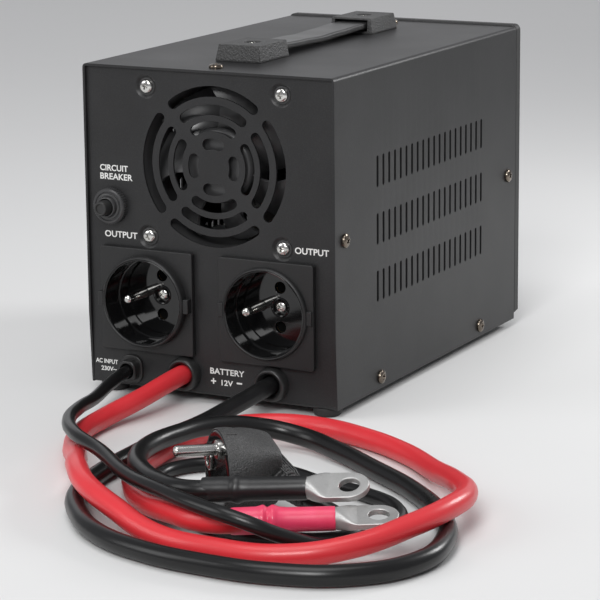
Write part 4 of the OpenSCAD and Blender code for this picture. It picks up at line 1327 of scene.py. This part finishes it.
# ---- Outlet panel ----
class INVERTER_OT_fan(bpy.types.Operator):
    """Fan frame and its rotor"""

    bl_idname = "inverter.fan"
    bl_label = "Fan"

    frame_size: FloatProperty(name="Frame", description="Side of the fan frame, mm", default=80)
    bore: FloatProperty(name="Bore", description="Diameter of the fan's bore, mm", default=76)
    hub: FloatProperty(name="Hub", description="Diameter of the hub, mm", default=36)

    def blade(self):
        bm = bmesh.new()
        bmesh.ops.create_grid(bm, x_segments=9, y_segments=9, size=1)
        root, tip = self.hub / 2 - 0.4, self.bore / 2 - 1.6
        for vert in bm.verts:
            s, t = (vert.co.x + 1) / 2, vert.co.y
            r = root + (tip - root) * s
            pitch = math.radians(43 - 14 * s)
            depth = 7.6 - 0.9 * s
            angle = t * depth / math.tan(pitch) / r + 0.22 * s * s
            rise = t * depth + 1.5 * (1 - t * t)
            vert.co = (r * math.cos(angle), r * math.sin(angle), rise)
        bmesh.ops.recalc_face_normals(bm, faces=bm.faces)
        bmesh.ops.solidify(bm, geom=bm.faces[:], thickness=1.2)
        return bm

    def execute(self, context):
        front, back = PANEL_Y + context.scene.inverter_case.sheet, node_box("fan_frame")[1].y
        start = Vector((FAN.x, front, FAN.z))
        half = self.frame_size / 2
        bm = bmesh.new()
        screws = [circle(x - FAN.x, z - FAN.z, 2.2, 20) for x, z in FAN_SCREWS]
        for y in (front + 4, back):
            flange = cut_sheet(
                rounded_box(0, 0, 2 * half, 2 * half, 4), [circle(0, 0, self.bore / 2 + 0.6, 72), *screws],
                4, edge=0.3,
            )
            join(bm, flange, Matrix.Translation((FAN.x, y, FAN.z)) @ PANEL_PLANE)
        add_lathe(
            bm,
            [(0, half - 1.2), (0, half - 1.6), (3, half - 2), (21, half - 2), (25, half - 1.6),
             (25, half - 1.2), (21, half - 0.6), (4, half - 0.6)],
            start, Y, steps=80, closed=True,
        )
        add_lathe(
            bm,
            [(22, 2.6), (21.8, 17), (22.4, 18), (25, 18), (25, 15.5), (24.3, 15), (24.3, 2.6)],
            start, Y, steps=48, closed=True,
        )
        for turn in range(45, 360, 90):
            strut = bmesh.new()
            add_soft_block(strut, (17, -1.6, -25), (half - 1.6, 1.6, -22), 0.6)
            join(
                bm, strut,
                Matrix.Translation(start) @ Matrix.Rotation(math.radians(90), 4, "X")
                @ Matrix.Rotation(math.radians(turn), 4, "Z"),
            )
        add_piece("fan_case", bm, fan_plastic(), ["fan_frame"])

        rotor = bmesh.new()
        add_lathe(
            rotor,
            [(2.6, 0), (2.6, 15.4), (2.9, 16.6), (3.8, 17.6), (5.2, 18), (21, 18), (21, 16.4),
             (4.6, 16.4), (4.6, 2.2), (24.5, 2.2), (24.5, 0)],
            start, Y, steps=64,
        )
        blades = context.scene.inverter_fan.blades
        scatter(
            rotor, self.blade(),
            [
                Matrix.Translation(start + Y * 12.2) @ Matrix.Rotation(math.radians(90), 4, "X")
                @ Matrix.Rotation(math.tau * i / blades + 0.25, 4, "Z")
                for i in range(blades)
            ],
        )
        add_piece("fan_blades", rotor, fan_plastic(), ["fan_rotor"], body="fan_rotor", smooth=40)
        return {"FINISHED"}


class INVERTER_OT_outlets(bpy.types.Operator):
    """The two mains outlets with their cups, earth pins and screws"""

    bl_idname = "inverter.outlets"
    bl_label = "Outlets"

    plate: FloatProperty(name="Plate", description="Side of the outlet plates, mm", default=50)
    floor: FloatProperty(name="Floor", description="Depth of the cup behind the panel, mm", default=12)

    def build(self, name, collar):
        sizes = bpy.context.scene.inverter_outlets
        centre = node_centre(f"{name}_cover")
        start = Vector((centre.x, PANEL_Y, OUTLET_Z))
        cup, rim, floor = sizes.recess / 2, 3 + collar, -self.floor
        half = self.plate / 2
        bm = cut_sheet(
            rounded_box(0, 0, self.plate, self.plate, 1.4), [circle(0, 0, 21.6, 72)], 3, edge=0.4, steps=2
        )
        bm.transform(Matrix.Translation(start) @ PANEL_PLANE)
        add_lathe(
            bm,
            [(0.4, 21.2), (0.4, 22.2), (rim - 1.6, 22.1), (rim - 0.7, 21.9), (rim - 0.2, 21.5), (rim, 21.1),
             (rim - 0.1, 20.85), (rim - 0.3, 20.7), (rim - 1.2, 20.6)],
            start, OUT, steps=96, closed=True,
        )
        for side in (-1, 1):
            low = start + Vector((min(side * 21.9, side * half * 0.985), -rim + 0.7, -3.4))
            high = start + Vector((max(side * 21.9, side * half * 0.985), -2.4, 3.4))
            add_soft_block(bm, low, high, 0.35)
        add_piece(f"{name}_plate", bm, outlet_plastic(), [f"{name}_cover"], smooth=35)

        well = bmesh.new()
        add_lathe(
            well,
            [(rim - 0.2, 20.75), (rim, 20.55), (rim - 0.1, 20.2), (rim - 0.5, cup), (-4, cup - 0.1),
             (-4.3, cup - 0.25), (-4.4, cup - 0.9), (floor + 0.5, cup - 1), (floor, cup - 1.4), (floor - 0.1, cup - 2),
             (floor - 2, cup - 2), (floor - 2, cup + 2), (0, cup + 2), (0.2, cup + 0.75)],
            start, OUT, steps=96, closed=True,
        )
        pin = -10
        holes = [circle(0, side * sizes.contact_pitch / 2, sizes.contact / 2, 32) for side in (-1, 1)]
        floor_plate = cut_sheet(
            circle(0, 0, cup - 1.2, 72), [*holes, circle(0, 0, 3.6, 32), circle(pin, 0, 2.5, 24)], 2,
            edge=0.25, steps=2,
        )
        join(well, floor_plate, Matrix.Translation(start - OUT * (self.floor + 2)) @ PANEL_PLANE)
        # The well behind the screw, and its rim
        add_lathe(
            well, [(floor - 1.3, 0), (floor - 1.3, 3.9), (floor - 2.4, 3.9), (floor - 2.4, 0)], start, OUT, steps=28
        )
        add_lathe(
            well,
            [(floor + 0.45, 3.9), (floor + 0.6, 4.3), (floor + 0.45, 4.7), (floor - 0.2, 4.9), (floor - 0.2, 3.7)],
            start, OUT, steps=36, closed=True,
        )
        add_piece(f"{name}_cup", well, gloss_plastic(), smooth=35)
        # Discs where socket shutters sit, in a near-black matte finish that is painted shade of the deep contact holes
        shutter_painted_shade_discs = bmesh.new()
        for side in (-1, 1):
            shutter = cut_sheet(circle(0, side * sizes.contact_pitch / 2, 3.5, 28), [], 0.5, edge=0.15)
            join(shutter_painted_shade_discs, shutter, Matrix.Translation(start - OUT * (self.floor + 2.7)) @ PANEL_PLANE)
        add_piece(f"{name}_shutters", shutter_painted_shade_discs, shutter_painted_shade(), smooth=35)

        earth = bmesh.new()
        add_lathe(
            earth,
            [(floor - 3, 0), (floor - 3, 2), (floor, 2.4), (0.9, 2.4), (1.3, 2.05), (1.8, 2.0), (2.3, 2.3),
             (2.9, 2.4), (3.6, 2.25), (4.3, 1.75), (4.8, 1), (5, 0)],
            start + X * pin, OUT, steps=32,
        )
        add_piece(f"{name}_pin", earth, bright_zinc(), [f"{name}_earth_pin"], smooth=50)
        add_screws(
            f"{name}_screw_head", [(start - OUT * (self.floor + 1.3), OUT, 20)], 2.9, 1.9,
            bright_zinc(), f"{name}_screw",
        )

    def execute(self, context):
        self.build("outlet_left", 4.5)
        self.build("outlet_right", 2)
        return {"FINISHED"}


class INVERTER_OT_breaker(bpy.types.Operator):
    """Resettable circuit breaker: housing, knurled nut and button"""

    bl_idname = "inverter.breaker"
    bl_label = "Breaker"

    teeth: IntProperty(name="Teeth", description="Ridges of the nut's knurl", default=44)

    def execute(self, context):
        start = Vector((BREAKER.x, PANEL_Y, BREAKER.z))
        bm = bmesh.new()
        low, high = node_box("breaker_body")
        add_soft_block(bm, (start.x - 9, PANEL_Y + 1.2, start.z - 16), (start.x + 9, high.y, start.z + 16), 0.8)
        thread = []
        for i in range(5):
            thread += [(-1.2 + 1.1 * i, 4.75), (-0.65 + 1.1 * i, 5.0)]
        add_lathe(
            bm,
            [(-1.2, 4.1), *thread, (4.6, 5.0), (5.5, 4.9), (5.9, 4.6), (6, 4.3), (5.9, 4.1)],
            start, OUT, steps=44, closed=True,
        )
        add_piece("breaker_housing", bm, fan_plastic(), ["breaker_body"], smooth=32)

        nut = bmesh.new()
        ridges = []
        for i in range(self.teeth):
            for part, radius in ((0, 8.3), (0.28, 8.72), (0.62, 8.72), (0.9, 8.3)):
                a = math.tau * (i + part) / self.teeth
                ridges.append((radius * math.cos(a), radius * math.sin(a)))
        add_outline(nut, ridges, 2.9, Matrix.Translation(start + OUT * 0.05) @ PANEL_PLANE)
        add_lathe(
            nut,
            [(2.8, 5.1), (2.8, 8.35), (3.2, 8.3), (3.7, 7.8), (3.75, 7.1), (3.3, 6.7), (3.3, 6.35), (3.8, 6.1),
             (4, 5.7), (4, 5.15)],
            start, OUT, steps=60, closed=True,
        )
        add_piece("breaker_knurled_nut", nut, fan_plastic(), ["breaker_nut"], smooth=32)

        button = bmesh.new()
        add_lathe(
            button,
            [(-7, 0), (-7, 3.6), (9.4, 3.6), (10.4, 3.5), (10.9, 3.15), (11.05, 2.7), (10.9, 2.3),
             (10.4, 2.1), (10.2, 0)],
            start, OUT, steps=44,
        )
        add_piece(
            "breaker_button_cap", button, textured_plastic(), ["breaker_button"],
            body="breaker_button",
        )
        return {"FINISHED"}


class INVERTER_OT_entries(bpy.types.Operator):
    """Domed grommets of the battery cables and the clamp of the mains lead"""

    bl_idname = "inverter.entries"
    bl_label = "Cable entries"

    def execute(self, context):
        leads = context.scene.inverter_leads
        for name, route, diameter in (
            ("positive_grommet", PLUS_ROUTE, leads.plus_diameter),
            ("negative_grommet", MINUS_ROUTE, leads.minus_diameter),
        ):
            r = diameter / 2 + 0.15
            start = Vector((route[0][0], PANEL_Y, route[0][2]))
            bm = bmesh.new()
            add_lathe(
                bm,
                [(-3, r), (0.6, r), (2.4, r + 0.15), (3.6, r + 0.4), (4.6, 5.7), (5.2, 6.1), (5.5, 6.6),
                 (5.35, 7.1), (4.9, 7.55), (4, 7.95), (2.6, 8.2), (1, 8.3), (0.05, 8.3), (0.05, 6.75),
                 (-1.25, 6.75), (-1.3, 7.9), (-3, 7.9)],
                start, OUT, steps=64, closed=True,
            )
            add_piece(f"{name}_rubber", bm, grommet_rubber(), [name], smooth=50)
        x, z = MAINS_ROUTE[0][0], MAINS_ROUTE[0][2]
        bm = cut_sheet(rounded_box(0, 0, 12, 14, 5), [], 1.7, edge=0.6, steps=3)
        bm.transform(Matrix.Translation((x, PANEL_Y + 0.1, z)) @ PANEL_PLANE)
        block = cut_sheet(rounded_box(0, 0, 9.2, 10, 3.4), [], 12.2, edge=0.9, steps=4)
        block.transform(Matrix.Translation((x, PANEL_Y + 6.2, z)) @ PANEL_PLANE)
        bm = carve(bm, block, "UNION")
        hole = bmesh.new()
        add_lathe(
            hole, [(-12, 0), (-12, 3.2), (4, 3.25), (6.2, 3.9), (6.2, 0)], Vector((x, PANEL_Y, z)), OUT, steps=32
        )
        bm = carve(bm, hole)
        add_piece("mains_clamp", bm, grommet_rubber(), ["mains_gland"], smooth=35)
        return {"FINISHED"}


class INVERTER_OT_panel_words(bpy.types.Operator):
    """Plain words printed on the outlet panel"""

    bl_idname = "inverter.panel_words"
    bl_label = "Panel words"

    def execute(self, context):
        bm = bmesh.new()
        for words, left, bottom, width, height in (
            ("CIRCUIT", -59, 108.1, 15.4, 3), ("BREAKER", -59, 104, 17.8, 3),
            ("OUTPUT", -57.2, 76.2, 18, 3.1), ("OUTPUT", 45, 76.6, 17.6, 3.1),
            ("AC INPUT", -64.2, 13.6, 12.4, 2.2), ("230V~", -61.2, 10, 8.6, 2.2),
            ("BATTERY", -0.8, 14.8, 18.4, 2.9), ("12V", 5.2, 9.6, 6.2, 2.7),
            ("+", -0.5, 9.9, 2.8, 2.8), ("-", 13.4, 11.1, 2.9, 0.8),
        ):
            add_text(bm, words, left, bottom, width, height, PANEL_Y - 0.01)
        add_piece("panel_print", bm, panel_ink())
        return {"FINISHED"}


# ---- Handle ----
class INVERTER_OT_handle(bpy.types.Operator):
    """Strap handle with its two moulded end caps and screws"""

    bl_idname = "inverter.handle"
    bl_label = "Handle"

    def cap(self, name, node, end, side):
        """End cap from its outer end at Y = end, its mouth towards side."""
        bm = bmesh.new()
        face = bm.faces.new([bm.verts.new((x, y, 0)) for x, y in rounded_box(0, 15, 24, 30, 0.8, 3)])
        for rise, narrow, taper in ((1, 0, 0), (7, 1.1, 1.5)):
            grown = bmesh.ops.extrude_face_region(bm, geom=[face])["geom"]
            face = next(g for g in grown if isinstance(g, bmesh.types.BMFace))
            for vert in (g for g in grown if isinstance(g, bmesh.types.BMVert)):
                vert.co.z += rise
                vert.co.x *= (12 - narrow) / 12
                vert.co.y = taper + vert.co.y * (30 - taper - (0.5 if taper else 0)) / 30
            bm.normal_update()
        bmesh.ops.recalc_face_normals(bm, faces=bm.faces)
        sharp = [e for e in bm.edges if e.is_manifold and e.calc_face_angle() > math.radians(40)]
        bmesh.ops.bevel(
            bm, geom=sharp, offset=0.4, offset_type="OFFSET", segments=2, profile=0.5, affect="EDGES",
            material=-1, clamp_overlap=True,
        )
        mouth = bmesh.new()
        add_soft_block(mouth, (-9.3, 23, 1.2), (9.3, 33, 7.1), 0.5)
        bm = carve(bm, mouth)
        well = bmesh.new()
        add_lathe(well, [(0, 0), (0, 4), (2.2, 4.05), (2.9, 4.6), (4, 4.6), (4, 0)], Vector((0, 15, 5.4)), Z, steps=36)
        bm = carve(bm, well)
        if side < 0:
            bm.transform(Matrix.Rotation(math.pi, 4, "Z"))
        bm.transform(Matrix.Translation((0, end, COVER_HIGH.z)))
        add_piece(name, bm, handle_plastic(), [node], smooth=28)

    def execute(self, context):
        near, far = node_box("handle_cap_outlet_end"), node_box("handle_cap_display_end")
        self.cap("handle_cap_near", "handle_cap_outlet_end", near[0].y, 1)
        self.cap("handle_cap_far", "handle_cap_display_end", far[1].y, -1)
        add_screws(
            "handle_screw_heads",
            [((0, node_centre(n).y, COVER_HIGH.z + 5.4), Z, 40) for n in ("handle_cap_outlet_end", "handle_cap_display_end")],
            3.5, 2.2, bright_zinc(), "handle_screws",
        )
        start, end = node_box("handle_strap_near")[0], node_box("handle_strap_far")[1]
        length = end.y - start.y
        centre = (start.z + end.z) / 2
        sag = context.scene.inverter_handle.strap_sag
        bm = bmesh.new()
        loops = []
        for i in range(49):
            t = i / 48
            y = start.y + length * t
            drop = sag * math.sin(math.pi * min(1, max(0, (t - 0.06) / 0.88))) ** 2
            ripple = 0.12 * math.sin(t * 23) * math.sin(math.pi * t)
            loop = []
            for x, z in rounded_box(0, 0, 17, 3.5, 1.1, 4):
                crown = 0.25 * (1 - (x / 8.5) ** 2) if z > 0 else 0
                loop.append(Vector((x, y, centre + z - 0.25 * (z > 0) + crown - drop + ripple)))
            loops.append(loop)
        add_loft(bm, loops)
        strap = add_piece(
            "handle_strap", bm, strap_rubber(), ["handle_strap_near", "handle_strap_far"],
            body=None, smooth=45,
        )
        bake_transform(strap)
        return {"FINISHED"}


# ---- Inside ----
class INVERTER_OT_inside(bpy.types.Operator):
    """Finishes of the parts inside the case, and the wires between them"""

    bl_idname = "inverter.inside"
    bl_label = "Inside"

    def wires(self, name, material, slot, runs, diameter):
        parts = bmesh.new()
        for run in runs:
            curve = bpy.data.curves.new(name, "CURVE")
            curve.dimensions = "3D"
            curve.bevel_depth = diameter / 2
            curve.bevel_resolution = 3
            curve.resolution_u = 8
            curve.use_fill_caps = True
            spline = curve.splines.new("BEZIER")
            spline.bezier_points.add(len(run) - 1)
            for point, place in zip(spline.bezier_points, run):
                point.co = place
                point.handle_left_type = point.handle_right_type = "AUTO"
            join(parts, bmesh_of(mesh_of(new_object(name, curve))))
        add_piece(name, parts, material, smooth=50)

    def execute(self, context):
        for nodes, material in (
            (("main_board", "control_board", "display_board"), board_green()),
            (("heat_sinks",), aluminium()),
            (("transformer_core",), core_laminations()),
            (("transformer_winding",), enamelled_copper()),
            (("transformer_bolts", "foot_screws"), bright_zinc()),
            (("board_standoffs", "breaker_terminals", "battery_terminals", "outlet_left_contacts",
              "outlet_right_contacts"), brass()),
            (("capacitors",), blue_sleeve()),
            (("outlet_left_base", "outlet_right_base"), steatite()),
            (("display_window",), window_glass()),
            (("filter_choke",), enamelled_copper()),
        ):
            for node in nodes:
                dress(node, material)
        for node in sorted(set(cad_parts) - DRESSED):
            dress(node, textured_plastic())
        self.wires(
            "inner_red_wires", red_jacket(), "red_pvc",
            [
                [(-14, -89, 13.5), (-10, -76, 20), (4, -62, 40), (22, -56, 64), (38, -50, 78), (44, -38, 60), (40, -28, 30)],
                [(50, -70, 66), (54, -66, 90), (50, -60, 116), (40, -52, 132), (20, -48, 136), (0, -40, 128), (-6, -30, 100)],
                [(46, 0, 118), (52, 14, 126), (50, 34, 130), (40, 52, 124), (30, 70, 112)],
            ],
            4.2,
        )
        self.wires(
            "inner_black_wires", black_jacket(), "black_pvc",
            [
                [(33, -89, 13.5), (36, -76, 18), (44, -64, 30), (48, -52, 34), (44, -36, 26)],
                [(-43, -88, 12.5), (-44, -78, 24), (-50, -70, 50), (-53, -66, 78)],
                [(52, -68, 58), (57, -60, 80), (54, -50, 104), (44, -44, 120), (24, -40, 126)],
            ],
            3.6,
        )
        return {"FINISHED"}


OPERATORS = [
    INVERTER_OT_stage, INVERTER_OT_leads, INVERTER_OT_battery_ends, INVERTER_OT_plug,
    INVERTER_OT_chassis, INVERTER_OT_cover, INVERTER_OT_case_screws, INVERTER_OT_feet,
    INVERTER_OT_display_end, INVERTER_OT_fan, INVERTER_OT_outlets, INVERTER_OT_breaker,
    INVERTER_OT_entries, INVERTER_OT_panel_words, INVERTER_OT_handle, INVERTER_OT_inside,
]
SETTINGS = {
    "inverter_case": CaseSettings,
    "inverter_fan": FanSettings,
    "inverter_outlets": OutletSettings,
    "inverter_leads": LeadSettings,
    "inverter_handle": HandleSettings,
}


class INVERTER_PT_panel(bpy.types.Panel):
    bl_idname = "INVERTER_PT_panel"
    bl_label = "Inverter"
    bl_space_type = "VIEW_3D"
    bl_region_type = "UI"
    bl_category = "Inverter"

    def draw(self, context):
        for name, group in SETTINGS.items():
            for key in group.__annotations__:
                self.layout.prop(getattr(context.scene, name), key)
        for operator in OPERATORS:
            self.layout.operator(operator.bl_idname)


def register():
    for cls in [*SETTINGS.values(), *OPERATORS, INVERTER_PT_panel]:
        bpy.utils.register_class(cls)
    for name, group in SETTINGS.items():
        setattr(bpy.types.Scene, name, PointerProperty(type=group))


def unregister():
    for name in SETTINGS:
        delattr(bpy.types.Scene, name)
    for cls in reversed([*SETTINGS.values(), *OPERATORS, INVERTER_PT_panel]):
        bpy.utils.unregister_class(cls)


def main():
    register()
    for operator in OPERATORS:
        group, name = operator.bl_idname.split(".")
        getattr(getattr(bpy.ops, group), name)()


if __name__ == "__main__":
    main()
